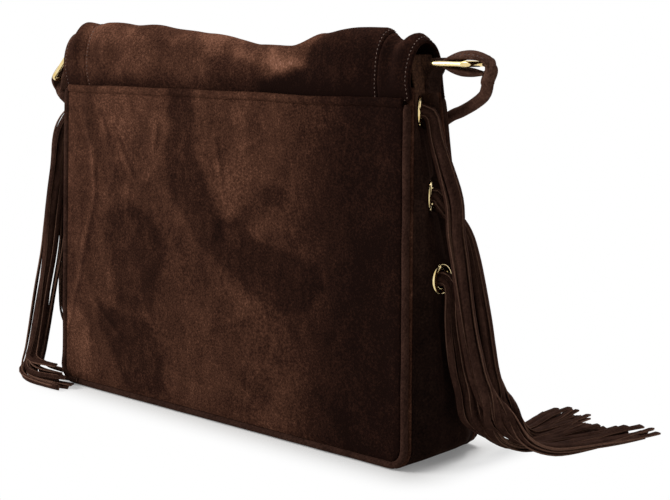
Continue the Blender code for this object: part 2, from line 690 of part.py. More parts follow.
def make_tassel(name, side, eyelet, route):
    """A strip cut into strands, rolled into its eyelet; the strands hang and trail on the floor."""
    seat, out = eyelet_seat(side, eyelet)
    start = seat - out * ROOT_INSIDE
    turn = seat + out * ROOT_OUTSIDE
    bend = turn + out * ROOT_BEND - Vector((0, 0, ROOT_FALL))
    stretch = BODY_HEIGHT / DRAWN_HEIGHT
    fall = [Vector((side * (HALF_WIDTH + reach), y, z * stretch)) for reach, y, z in route]
    path = smooth_route([start, seat, turn, bend] + fall, PATH_POINTS)
    frames = carried_frames(path, Vector((0, 1, 0)))
    _, last_across, last_up = frames[-1]
    turn_flat = math.atan2(-last_across.z, side * last_up.z) % math.pi
    length = sum((there - here).length for here, there in zip(path, path[1:]))
    drop = length - ROOT_STEPS[-1]
    steps = list(ROOT_STEPS)
    steps += [ROOT_STEPS[-1] + drop * (row + 1) / DROP_ROWS for row in range(DROP_ROWS)]

    def point(i, j):
        strand = i // 2
        distance = steps[j]
        if distance > ROOT_STEPS[-1]:
            share = LENGTH_STEPS[strand % len(LENGTH_STEPS)]
            distance = ROOT_STEPS[-1] + (distance - ROOT_STEPS[-1]) * share
        place, across, up = frames[round(distance / length * (PATH_POINTS - 1))]
        up = up * side
        opened = ease((distance - ROOT_STEPS[3]) / (2 * ROOT_STEPS[-1]))
        laid = ease((TWIST_TOP - place.z) / (TWIST_TOP - TWIST_FOOT))
        tip = ease((distance / length - SPREAD_START) / (1 - SPREAD_START))
        width = BUNDLE_ROOT + (BUNDLE_WIDTH - BUNDLE_ROOT) * opened
        width += (BUNDLE_TIP_WIDTH - BUNDLE_WIDTH) * tip
        depth = BUNDLE_ROOT + (BUNDLE_DEPTH - BUNDLE_ROOT) * opened
        depth += (BUNDLE_FLOOR_DEPTH - BUNDLE_DEPTH) * laid
        twist = turn_flat * laid
        wide = across * math.cos(twist) + up * math.sin(twist)
        deep = up * math.cos(twist) - across * math.sin(twist)
        angle = math.radians(BUNDLE_SPREAD * ((strand + 0.5) / STRANDS - 0.5))
        centre = place + wide * width * math.sin(angle) + deep * depth * math.cos(angle)
        tangent = (wide * width * math.cos(angle) - deep * depth * math.sin(angle)).normalized()
        strip = STRAND_ROOT_WIDTH + (STRAND_WIDTH - STRAND_ROOT_WIDTH) * opened
        return centre + tangent * strip / 2 * (1 if i % 2 else -1)

    def keep(i, j):
        return j < BAND_ROWS or i % 2 == 0

    tassel = make_sheet(name, 2 * STRANDS - 1, len(steps) - 1, point, STRAND_LEATHER, suede_fringe,
                        keep)
    add_flat_faces(tassel)


clear_scene()
parts = new_collection("fringed_bag")
cutters = new_collection("cutters")
suede = make_material("suede", (0.060, 0.026, 0.017), 0.92)
suede_dark = make_material("suede_dark", (0.035, 0.015, 0.010), 0.94)
suede_fringe = make_material("suede_fringe", (0.050, 0.021, 0.014), 0.90)
cloth = make_material("lining", (0.090, 0.060, 0.045), 0.80)
board = make_material("board", (0.180, 0.150, 0.120), 0.85)
gold = make_material("gold", (0.830, 0.620, 0.300), 0.22, metallic=1.0)

make_walls()
make_pocket()
make_base()
make_lining()
make_piping()
make_flap()
make_strap()
for side_name, side_sign, routes in (("left", LEFT, LEFT_ROUTES), ("right", RIGHT, RIGHT_ROUTES)):
    make_gusset(f"gusset_{side_name}", side_sign)
    make_tab(f"strap_tab_{side_name}", side_sign)
    make_ring(f"ring_{side_name}", side_sign)
    make_strap_end(f"strap_end_{side_name}", side_sign)
    for order, (place, tassel_route) in enumerate(zip(EYELETS, routes), 1):
        make_eyelet(f"eyelet_{side_name}_{order}", side_sign, place)
        make_tassel(f"tassel_{side_name}_{order}", side_sign, place, tassel_route)
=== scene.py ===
"""A fringed suede shoulder bag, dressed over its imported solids. Sizes are in metres."""

import math
import random

import bmesh
import bpy
from mathutils import Matrix, Vector, noise


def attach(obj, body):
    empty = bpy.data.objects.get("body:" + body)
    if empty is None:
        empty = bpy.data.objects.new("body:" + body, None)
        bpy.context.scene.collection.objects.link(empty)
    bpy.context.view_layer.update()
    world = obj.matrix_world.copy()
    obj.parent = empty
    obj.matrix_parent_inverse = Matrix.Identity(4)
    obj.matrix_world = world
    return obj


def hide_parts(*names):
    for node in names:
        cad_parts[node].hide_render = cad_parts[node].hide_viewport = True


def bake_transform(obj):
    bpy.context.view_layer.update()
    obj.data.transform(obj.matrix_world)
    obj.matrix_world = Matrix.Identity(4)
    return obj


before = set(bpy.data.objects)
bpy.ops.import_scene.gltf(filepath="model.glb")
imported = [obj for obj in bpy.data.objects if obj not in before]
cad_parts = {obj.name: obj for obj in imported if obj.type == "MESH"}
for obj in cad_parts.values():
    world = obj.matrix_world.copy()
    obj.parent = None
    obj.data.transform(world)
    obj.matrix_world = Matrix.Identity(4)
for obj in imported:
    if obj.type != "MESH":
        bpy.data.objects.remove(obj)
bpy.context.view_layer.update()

# The body's sizes, as the solids have them
HALF_WIDTH = 0.1795
BACK_FACE = 0.0385
FRONT_FOOT = -0.0385
FRONT_LEAN = 0.185
LEFT_FLARE = 0.0155
MOUTH = 0.258
SUEDE = 0.002
CORNER = 0.015
POCKET_TOP = 0.250
POCKET_MIDDLE = 0.0421
POCKET_INSET = 0.0052
POCKET_FLOOR = 0.0061
POCKET_STRAIGHT = 0.0159
POCKET_HEM_START = 0.2435
POCKET_SEAM = 0.2448
GUSSET_ROUNDING = 0.6
GUSSET_CLEARANCE = 0.0006
GUSSET_SWELL = (
    (0.0, 0.0090), (0.23, 0.0090), (0.504, 0.0055), (0.721, 0.0010), (0.938, -0.0045), (0.99, 0.0),
)
GUSSET_SWAY = ((0.504, 0.0), (0.721, 0.0037), (0.938, 0.0027), (0.99, 0.0))
PIPING_RADIUS = 0.0026
PIPING_INSET = 0.0023
PIPING_TOP = 0.247
PIPING_BACK = 0.0414
PIPING_FLOOR = 0.0032
PIPING_STANDOFF = 0.0033
FRONT_PIPING_RISE = 0.0038
LEFT = 1
RIGHT = -1

# The flap's sizes
FLAP_BACK = 0.0398
FLAP_SWELL = 0.0022
FLAP_START = 0.236
FLAP_EDGE = 0.180
FLAP_SEAM = 0.152
FLAP_EASE = 0.0018
FLAP_TUCK = 0.0057
ARCH_FOOT = 0.262
FLAP_HEM = 0.072
FLAP_HEM_RISE = 0.018
FLAP_SEAM_GAP = 0.0003
SEAM_STITCH_INSET = 0.0022
EDGE_STITCH_INSET = 0.0030
FLAP_CREST = (
    (-0.180, 0.2880), (-0.174, 0.2930), (-0.160, 0.2880), (-0.146, 0.2962), (-0.124, 0.2970),
    (-0.094, 0.2925), (-0.064, 0.2838), (-0.030, 0.2842), (0.022, 0.2925), (0.095, 0.2975),
    (0.140, 0.3000), (0.152, 0.2985), (0.166, 0.3000), (0.180, 0.2920),
)

# Gold fittings. An eyelet has its height, its y, how far out from the side edge it lies, and the
# turn in degrees by which it faces the front
EYELETS = (
    (0.242, 0.0255, -0.0050, 32.0), (0.186, 0.0198, 0.0000, 32.0), (0.130, 0.0133, 0.0055, 0.0),
)
EYELET_FLAT = 0.0108
EYELET_FLAT_END = 0.0140
EYELET_BORE = 0.0060
EYELET_FLANGE = 0.0103
EYELET_RISE = 0.0014
EYELET_SEAT = 0.0007
HINGE = (0.188, 0.020, 0.2735)
RING_LENGTH = 0.029
RING_WIDTH = 0.024
RING_WIRE = 0.0018
RING_CORNER = 0.0045
LEFT_RING_DROP = 43.0
TAB_WIDTH = 0.0145
TAB_LEATHER = 0.0015
LEAF_THICKNESS = 0.0018
STRAND_THICKNESS = 0.0012
NECK_RADIUS = 0.0044

# The rolled strap's route from the right ring round the front to the left ring
STRAP_RADIUS = 0.004
STRAP_STANDOFF = 0.008
STRAP_POINTS = 220
STRAP_RIGHT = (
    (-0.2256, 0.0200, 0.2634), (-0.2240, 0.0186, 0.2584), (-0.2160, 0.0110, 0.2528),
    (-0.2010, 0.0015, 0.2465), (-0.1860, -0.0060, 0.2412), (-0.1700, -0.0105, 0.2352),
)
STRAP_FRONT = (
    (-0.146, 0.216), (-0.116, 0.174), (-0.074, 0.136), (-0.026, 0.114), (0.022, 0.111),
    (0.070, 0.125), (0.112, 0.154), (0.142, 0.188),
)
STRAP_LEFT = (
    (0.166, -0.0165, 0.2120), (0.184, -0.0130, 0.2215), (0.1975, -0.0030, 0.2262),
    (0.2065, 0.0090, 0.2310), (0.2106, 0.0175, 0.2366), (0.2118, 0.0200, 0.2405),
)
STRAP_END = (
    (0.0402, -0.0048), (0.0388, 0.0010), (0.0340, 0.0055), (0.0260, 0.0078), (0.0170, 0.0072),
    (0.0105, 0.0044), (0.0082, 0.0000), (0.0105, -0.0044), (0.0170, -0.0070), (0.0250, -0.0074),
    (0.0320, -0.0066), (0.0366, -0.0062),
)

# The fringe's routes, one for each eyelet, top to bottom
RIGHT_ROUTES = (
    (
        (-0.1875, 0.0225, 0.222), (-0.1935, 0.0215, 0.205), (-0.1998, 0.0196, 0.184),
        (-0.2010, 0.0188, 0.163), (-0.2030, 0.0168, 0.1446), (-0.2070, 0.0132, 0.104),
        (-0.2100, 0.0104, 0.083), (-0.2132, 0.0060, 0.063), (-0.2185, -0.0050, 0.041),
        (-0.2262, -0.0220, 0.0205), (-0.2345, -0.0480, 0.0085), (-0.2435, -0.0840, 0.0052),
        (-0.2510, -0.1250, 0.0052), (-0.2540, -0.1500, 0.0052),
    ),
    (
        (-0.1920, 0.0000, 0.163), (-0.1965, -0.0040, 0.1446), (-0.2030, -0.0080, 0.104),
        (-0.2055, -0.0100, 0.083), (-0.2075, -0.0135, 0.063), (-0.2075, -0.0260, 0.041),
        (-0.2050, -0.0460, 0.0205), (-0.2000, -0.0720, 0.0085), (-0.1950, -0.1060, 0.0052),
        (-0.1880, -0.1560, 0.0052),
    ),
    (
        (-0.1935, 0.0112, 0.104), (-0.1960, 0.0100, 0.083), (-0.1990, 0.0078, 0.063),
        (-0.2035, 0.0005, 0.041), (-0.2090, -0.0160, 0.0190), (-0.2135, -0.0400, 0.0080),
        (-0.2175, -0.0650, 0.0052), (-0.2210, -0.1000, 0.0052), (-0.2235, -0.1300, 0.0052),
    ),
)
LEFT_ROUTES = (
    (
        (0.2035, 0.0250, 0.2150), (0.2085, 0.0280, 0.1780), (0.2145, 0.0300, 0.1430),
        (0.2200, 0.0312, 0.1080), (0.2260, 0.0332, 0.0780), (0.2300, 0.0375, 0.0464),
        (0.2300, 0.0440, 0.0235), (0.2230, 0.0545, 0.0100), (0.2080, 0.0600, 0.0062),
        (0.1860, 0.0590, 0.0058), (0.1630, 0.0550, 0.0056),
    ),
    (
        (0.2110, 0.0150, 0.160), (0.2165, 0.0130, 0.130), (0.2200, 0.0120, 0.095),
        (0.2255, 0.0090, 0.055), (0.2290, -0.0060, 0.025), (0.2295, -0.0360, 0.0085),
        (0.2285, -0.0720, 0.0052), (0.2260, -0.1100, 0.0052),
    ),
    (
        (0.2060, 0.0122, 0.108), (0.2085, 0.0110, 0.080), (0.2105, 0.0060, 0.052),
        (0.2125, -0.0110, 0.025), (0.2110, -0.0400, 0.0085), (0.2080, -0.0780, 0.0052),
        (0.2040, -0.1180, 0.0052),
    ),
)


# Small tools

def ease(value):
    """A smooth step from 0 to 1."""
    value = min(max(value, 0.0), 1.0)
    return value * value * (3 - 2 * value)


def hump(distance, width):
    """1 on a line, falling smoothly to 0 beside it."""
    return math.exp(-(distance / width) ** 2)


def off_segment(x, z, start, end):
    """How far a point lies from a short straight mark."""
    line = Vector(end) - Vector(start)
    offset = Vector((x, z)) - Vector(start)
    share = min(max(offset.dot(line) / line.length_squared, 0.0), 1.0)
    return (offset - line * share).length


def within(x, z, outline, soft):
    """1 inside an outline and 0 outside it, with a soft edge."""
    inside = False
    nearest = 1.0
    for (x0, z0), (x1, z1) in zip(outline, outline[1:] + outline[:1]):
        run_x, run_z = x1 - x0, z1 - z0
        share = ((x - x0) * run_x + (z - z0) * run_z) / (run_x * run_x + run_z * run_z)
        share = min(max(share, 0.0), 1.0)
        nearest = min(nearest, math.hypot(x - x0 - run_x * share, z - z0 - run_z * share))
        if (z0 > z) != (z1 > z) and x < x0 + run_x * (z - z0) / run_z:
            inside = not inside
    return ease(0.5 + (nearest if inside else -nearest) / (2 * soft))


def brush_marks_and_painted_light(place, patches, seed):
    """How much lighter or darker a place is: brush marks on the pocket, painted highlights and shade on the
    flap.
    """
    x = place.x + 0.0035 * noise.noise(Vector((place.x * 70, place.z * 70, seed)))
    z = place.z + 0.0035 * noise.noise(Vector((place.x * 70, place.z * 70, seed + 4.0)))
    return sum(strength * within(x, z, outline, soft) for strength, soft, outline in patches)


def through(points, share):
    """A place on a smooth curve through points, share running from 0 to the last one's number."""
    index = min(max(int(share), 0), len(points) - 2)
    t = share - index
    p1, p2 = Vector(points[index]), Vector(points[index + 1])
    p0 = Vector(points[index - 1]) if index else 2 * p1 - p2
    p3 = Vector(points[index + 2]) if index + 2 < len(points) else 2 * p2 - p1
    return 0.5 * (
        2 * p1 + (p2 - p0) * t + (2 * p0 - 5 * p1 + 4 * p2 - p3) * t ** 2
        + (3 * p1 - p0 - 3 * p2 + p3) * t ** 3
    )


def even_route(points, count):
    """Evenly spaced points of a smooth curve through a route's own points."""
    fine = [through(points, step / 16) for step in range(16 * (len(points) - 1) + 1)]
    lengths = [0.0]
    for here, there in zip(fine, fine[1:]):
        lengths.append(lengths[-1] + (there - here).length)
    even = []
    index = 0
    for step in range(count):
        wanted = lengths[-1] * step / (count - 1)
        while index < len(fine) - 2 and lengths[index + 1] < wanted:
            index += 1
        part = (wanted - lengths[index]) / (lengths[index + 1] - lengths[index])
        even.append(fine[index].lerp(fine[index + 1], part))
    return even


def height_at(points, x):
    """The height of a smooth line through (x, height) points."""
    if x <= points[0][0]:
        return points[0][1]
    for (x0, z0), (x1, z1) in zip(points, points[1:]):
        if x <= x1:
            return z0 + (z1 - z0) * ease((x - x0) / (x1 - x0))
    return points[-1][1]


def side_edge(side, z):
    """How far the body's side lies from the middle: the left one flares towards the base."""
    flare = LEFT_FLARE * (1 - z / POCKET_TOP) if side == LEFT else 0.0
    return HALF_WIDTH + max(flare, 0.0)


def front_face(z):
    """The front wall's outer face, which leans back."""
    return FRONT_FOOT + FRONT_LEAN * z


def gusset_point(side, across, z, share, fold):
    """A point of a gusset's middle surface. It lies flat under each eyelet."""
    front = front_face(z) + SUEDE + GUSSET_CLEARANCE
    back = BACK_FACE - SUEDE - GUSSET_CLEARANCE
    y = front + (back - front) * across
    rounding = ease((1 - abs(2 * across - 1)) / GUSSET_ROUNDING)
    stand = (height_at(GUSSET_SWELL, z / MOUTH) + fold) * rounding * ease(share)
    stand -= height_at(GUSSET_SWAY, z / MOUTH) * math.sin(math.tau * across)
    x = side_edge(side, z) - SUEDE / 2 + stand
    for seat_z, seat_y, out, turn in EYELETS:
        turn = math.radians(turn)
        away = max(abs(y - seat_y) / math.cos(turn), abs(z - seat_z))
        flat = ease((EYELET_FLAT_END - away) / (EYELET_FLAT_END - EYELET_FLAT))
        plane = side_edge(side, seat_z) + out - SUEDE / 2 / math.cos(turn)
        plane += (y - seat_y) * math.tan(turn)
        x += (plane - x) * flat
    return Vector((side * x, y, z))


def eyelet_seat(side, eyelet):
    """The middle of an eyelet on the gusset's outer face, and the direction that it faces."""
    z, y, out, turn = eyelet
    facing = Vector((side * math.cos(math.radians(turn)), -math.sin(math.radians(turn)), 0))
    return Vector((side * (side_edge(side, z) + out), y, z)), facing


# Finishes

def linear(code):
    """A colour written as sRGB hex, as the linear values that a shader takes."""
    values = [int(code[i:i + 2], 16) / 255 for i in (0, 2, 4)]
    values = [v / 12.92 if v <= 0.04045 else ((v + 0.055) / 1.055) ** 2.4 for v in values]
    return (*values, 1.0)


def add(tree, kind, settings=None, inputs=None):
    """Adds a node, gives it its settings, and sets or links its inputs."""
    made = tree.nodes.new(kind)
    for name, value in (settings or {}).items():
        setattr(made, name, value)
    for name, value in (inputs or {}).items():
        if isinstance(value, bpy.types.NodeSocket):
            tree.links.new(value, made.inputs[name])
        else:
            made.inputs[name].default_value = value
    return made


def new_finish(name):
    """A material with its shader, and the places in metres that its textures go by."""
    material = bpy.data.materials.new(name)
    material.use_nodes = True
    tree = material.node_tree
    place = add(tree, "ShaderNodeTexCoord").outputs["Object"]
    return material, tree, tree.nodes["Principled BSDF"], place


def grain(tree, place, size_mm, detail, roughness=0.5, distortion=0.0):
    """Noise whose marks have one size in millimetres."""
    return add(tree, "ShaderNodeTexNoise", inputs={
        "Vector": place, "Scale": 1000 / size_mm, "Detail": detail, "Roughness": roughness,
        "Distortion": distortion,
    }).outputs[0]


def reckon(tree, operation, *values):
    """The result of a sum, as a socket."""
    return add(tree, "ShaderNodeMath", {"operation": operation}, dict(enumerate(values))).outputs[0]


def seen_rays(tree):
    """1 for the rays that show a surface to the camera, and 0 for those that light the bag."""
    rays = add(tree, "ShaderNodeLightPath").outputs
    seen = reckon(tree, "MAXIMUM", rays["Is Camera Ray"], rays["Is Glossy Ray"])
    return reckon(tree, "MAXIMUM", seen, rays["Is Transmission Ray"])


def emboss(tree, shader, height, strength, depth):
    """Gives a surface a fine relief, its depth in metres."""
    bump = add(tree, "ShaderNodeBump", inputs={"Strength": strength, "Distance": depth, "Height": height})
    tree.links.new(bump.outputs[0], shader.inputs["Normal"])


def colour(tree, shader, tone, stops):
    """Colours a surface by its tone, from one stop to the next."""
    ramp = add(tree, "ShaderNodeValToRGB", inputs={"Fac": tone})
    tree.links.new(ramp.outputs[0], shader.inputs["Base Color"])
    elements = ramp.color_ramp.elements
    while len(elements) > 1:
        elements.remove(elements[-1])
    elements[0].position = stops[0][0]
    elements[0].color = linear(stops[0][1])
    for place, code in stops[1:]:
        elements.new(place).color = linear(code)


def brushed_suede(name, shades, patch_mm=48, relief=0.0005):
    """Chrome-tanned split, sanded to a nap: no gloss, a dusty sheen, and patches that are lighter
    or darker by the way a hand last brushed them. The real nap is 0.3 mm, too fine to show at this
    size, so it is drawn 1.5 mm wide."""
    material, tree, shader, place = new_finish(name)
    patches = grain(tree, place, patch_mm, 4.0, 0.55, 0.8)
    drawn = add(tree, "ShaderNodeMapping", inputs={"Vector": place, "Scale": (1.0, 1.0, 0.55)})
    strokes = grain(tree, drawn.outputs[0], 11, 3.0, 0.6, 1.2)
    nap = grain(tree, place, 1.5, 2.0, 0.7)
    # The attribute holds brush marks, and on the pocket, flap and gussets painted highlights and painted
    # shade.
    marks = add(tree, "ShaderNodeAttribute", {"attribute_name": "brushing_and_painted_light"})
    tone = reckon(tree, "MULTIPLY_ADD", patches, 0.44, 0.28)
    tone = reckon(tree, "MULTIPLY_ADD", strokes, 0.36, tone)
    tone = reckon(tree, "MULTIPLY_ADD", nap, 0.84, tone)
    tone = reckon(tree, "ADD", tone, marks.outputs["Fac"])
    colour(tree, shader, reckon(tree, "SUBTRACT", tone, 0.60), shades)
    emboss(tree, shader, reckon(tree, "MULTIPLY_ADD", strokes, 0.5, nap), 0.6, relief)
    for socket, value in (
        ("Roughness", 0.95), ("Specular IOR Level", 0.02), ("Sheen Weight", 0.10),
        ("Sheen Roughness", 0.5), ("Sheen Tint", linear("7d4d38")),
    ):
        shader.inputs[socket].default_value = value
    return material


def cast_gold(name):
    """Zinc fittings with a pale gold plating: a bright mirror with hairline scratches and a few
    dull spots."""
    material, tree, shader, place = new_finish(name)
    spots = grain(tree, place, 4, 3.0, 0.6)
    colour(tree, shader, spots, ((0.3, "e2c27c"), (0.7, "f7e3b0")))
    dull = add(tree, "ShaderNodeMapRange", inputs={
        "Value": spots, "From Min": 0.35, "From Max": 0.75, "To Min": 0.10, "To Max": 0.24,
    })
    tree.links.new(dull.outputs[0], shader.inputs["Roughness"])
    emboss(tree, shader, grain(tree, place, 1.2, 2.0), 0.15, 0.0001)
    shader.inputs["Metallic"].default_value = 1.0
    return material


def sewing_thread(name, light, dark):
    """Bonded nylon thread of 0.6 mm, its twist a fine change of tone."""
    material, tree, shader, place = new_finish(name)
    colour(tree, shader, grain(tree, place, 0.8, 1.0), ((0.3, dark), (0.7, light)))
    shader.inputs["Roughness"].default_value = 0.6
    return material


def woven_lining(name):
    """Cotton twill: slanting ribs. Real threads are 0.25 mm apart, so the ribs are drawn 1.2 mm
    wide to show at all."""
    material, tree, shader, place = new_finish(name)
    slanted = add(tree, "ShaderNodeMapping", inputs={
        "Vector": place, "Rotation": (math.radians(45), math.radians(45), 0.0),
    })
    ribs = add(tree, "ShaderNodeTexWave", {"wave_profile": "SIN"}, {
        "Vector": slanted.outputs[0], "Scale": 2 * math.pi / 20 * 1000 / 1.2, "Distortion": 0.4,
        "Detail": 2.0, "Detail Scale": 2.0,
    }).outputs["Fac"]
    tone = reckon(tree, "MULTIPLY_ADD", ribs, 0.35, grain(tree, place, 25, 3.0))
    colour(tree, shader, tone, ((0.35, "2b211c"), (0.9, "5b493d")))
    emboss(tree, shader, ribs, 0.4, 0.0003)
    shader.inputs["Roughness"].default_value = 0.85
    return material


def grey_board(name):
    """Pressed paper board with flecks."""
    material, tree, shader, place = new_finish(name)
    colour(tree, shader, grain(tree, place, 2, 4.0), ((0.35, "6b6257"), (0.65, "8a8073")))
    shader.inputs["Roughness"].default_value = 0.8
    return material


# Making pieces

def finished(name, data, finishes, stands_for=(), body="bag"):
    """A piece at the origin that rides on a body and takes its place among the solids."""
    item = bpy.data.objects.new(name, data)
    bpy.context.scene.collection.objects.link(item)
    for finish in finishes:
        data.materials.append(finish)
    if body:
        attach(item, body)
    if stands_for:
        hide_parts(*stands_for)
    return item


def mesh_from(name, shape):
    mesh = bpy.data.meshes.new(name)
    shape.to_mesh(mesh)
    shape.free()
    mesh.shade_smooth()
    return mesh


def give_thickness(item, thickness, edge_finish=0):
    shell = item.modifiers.new("Thickness", "SOLIDIFY")
    shell.thickness = thickness
    shell.offset = 0.0
    shell.material_offset_rim = edge_finish


def sheet_shape(columns, rows, point, into=None):
    """A grid of cells, each corner placed by point(i, j)."""
    shape = into or bmesh.new()
    made = bmesh.ops.create_grid(shape, x_segments=columns, y_segments=rows, size=0.5)
    for vertex in made["verts"]:
        i = round((vertex.co.x + 0.5) * columns)
        j = round((vertex.co.y + 0.5) * rows)
        vertex.co = point(i, j)
    return shape


def keep_brushing_and_painted_light(mesh, shade):
    """Writes how light or dark each point is drawn: brush marks, and on some pieces painted highlights and
    shade.
    """
    marks = mesh.attributes.new("brushing_and_painted_light", "FLOAT", "POINT")
    for vertex, value in zip(mesh.vertices, marks.data):
        value.value = shade(vertex.co)


def tube_mesh(name, route, radius, around=12, closed=False, swell=None):
    """A round tube along a route, made from a curve."""
    curve = bpy.data.curves.new(name, "CURVE")
    curve.dimensions = "3D"
    curve.bevel_depth = radius
    curve.bevel_resolution = around // 4
    curve.use_fill_caps = not closed
    spline = curve.splines.new("POLY")
    spline.points.add(len(route) - 1)
    spline.use_cyclic_u = closed
    for index, (point, place) in enumerate(zip(spline.points, route)):
        point.co = (*place, 1.0)
        point.radius = swell(index / (len(route) - 1)) if swell else 1.0
    holder = bpy.data.objects.new(name, curve)
    bpy.context.scene.collection.objects.link(holder)
    bpy.context.view_layer.update()
    mesh = bpy.data.meshes.new_from_object(holder.evaluated_get(bpy.context.evaluated_depsgraph_get()))
    bpy.data.objects.remove(holder)
    bpy.data.curves.remove(curve)
    mesh.materials.clear()
    mesh.name = name
    mesh.shade_smooth()
    return mesh


def sew(shape, places, length, width, rise):
    """Adds a stitch at each (place, along, outward)."""
    for place, along, outward in places:
        across = along.cross(outward).normalized()
        turn = Matrix((along * length / 2, across * width / 2, outward * rise / 2)).transposed().to_4x4()
        made = bmesh.ops.create_uvsphere(shape, u_segments=6, v_segments=4, radius=1.0)
        bmesh.ops.transform(shape, matrix=Matrix.Translation(place) @ turn, verts=made["verts"])


def stitch_places(line, out_at, spacing):
    """Places of stitches along a line of points, each with its directions."""
    total = sum((there - here).length for here, there in zip(line, line[1:]))
    count = max(int(total / spacing), 1)
    even = even_route(line, 2 * count + 1)
    places = []
    for index in range(1, len(even) - 1, 2):
        along = (even[index + 1] - even[index - 1]).normalized()
        out = out_at(even[index])
        out = (out - along * out.dot(along)).normalized()
        places.append((even[index], along, out))
    return places


# The picture's camera, and the strap as the one cord

def make_camera():
    lens = bpy.data.cameras.new("camera")
    lens.lens = 75.75
    lens.sensor_width = 36
    camera = bpy.data.objects.new("camera", lens)
    bpy.context.scene.collection.objects.link(camera)
    turn, rise = math.radians(222.014), math.radians(9.1214)
    back = Vector((math.sin(turn) * math.cos(rise), -math.cos(turn) * math.cos(rise), math.sin(rise)))
    camera.rotation_euler = (-back).to_track_quat("-Z", "Y").to_euler()
    camera.location = (-0.7542, 0.7512, 0.2989)
    bpy.context.scene.camera = camera


def make_strap(finish):
    route = list(STRAP_RIGHT)
    route += [(x, front_face(z) - STRAP_STANDOFF, z) for x, z in STRAP_FRONT]
    route += list(STRAP_LEFT)
    path = even_route(route, STRAP_POINTS)
    mesh = tube_mesh("rolled_strap", path, STRAP_RADIUS, around=20)
    strap = finished("rolled_strap", mesh, [finish], ["strap"], body=None)
    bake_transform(strap)


# The body

def pocket_row(z):
    """Half the pocket panel's width each way at a height, round at the lower corners."""
    radius = CORNER - POCKET_INSET
    above = max(POCKET_FLOOR + radius - z, 0.0)
    cut = radius - math.sqrt(max(radius * radius - above * above, 0.0))
    return tuple(side_edge(side, z) - POCKET_INSET - cut for side in (RIGHT, LEFT))


POCKET_FOLDS = (
    ((0.160, 0.235), (0.150, 0.170), 0.0060, -0.0011), ((0.150, 0.238), (0.146, 0.180), 0.0040, 0.0010),
    ((0.135, 0.225), (0.128, 0.150), 0.0070, -0.0007), ((0.168, 0.180), (0.160, 0.110), 0.0060, 0.0009),
    ((0.118, 0.215), (0.085, 0.160), 0.0080, -0.0007), ((0.150, 0.130), (0.172, 0.055), 0.0090, 0.0008),
    ((0.165, 0.060), (0.140, 0.020), 0.0080, -0.0007), ((0.090, 0.120), (0.030, 0.060), 0.0140, 0.0007),
    ((-0.020, 0.170), (-0.110, 0.110), 0.0180, -0.0006), ((0.060, 0.205), (-0.050, 0.140), 0.0130, -0.0006),
    ((-0.090, 0.200), (-0.130, 0.120), 0.0200, 0.0006), ((-0.140, 0.090), (-0.100, 0.030), 0.0140, -0.0006),
)

# Fine creases, drawn with painted shade on one side and a painted highlight on the other
POCKET_CREASE_SHADING = (
    ((0.000, 0.217), (-0.005, 0.190)), ((0.112, 0.209), (0.095, 0.181)), ((0.100, 0.174), (0.047, 0.185)),
    ((0.168, 0.190), (0.140, 0.198)), ((0.142, 0.197), (0.141, 0.162)), ((0.142, 0.162), (0.163, 0.096)),
    ((0.164, 0.093), (0.186, 0.039)), ((0.068, 0.205), (0.063, 0.222)), ((0.134, 0.231), (0.125, 0.212)),
    ((-0.029, 0.209), (-0.047, 0.217)), ((0.079, 0.061), (0.039, 0.055)), ((0.010, 0.071), (-0.027, 0.083)),
    ((0.147, 0.076), (0.116, 0.052)), ((0.045, 0.031), (-0.011, 0.027)), ((-0.045, 0.094), (-0.073, 0.084)),
)

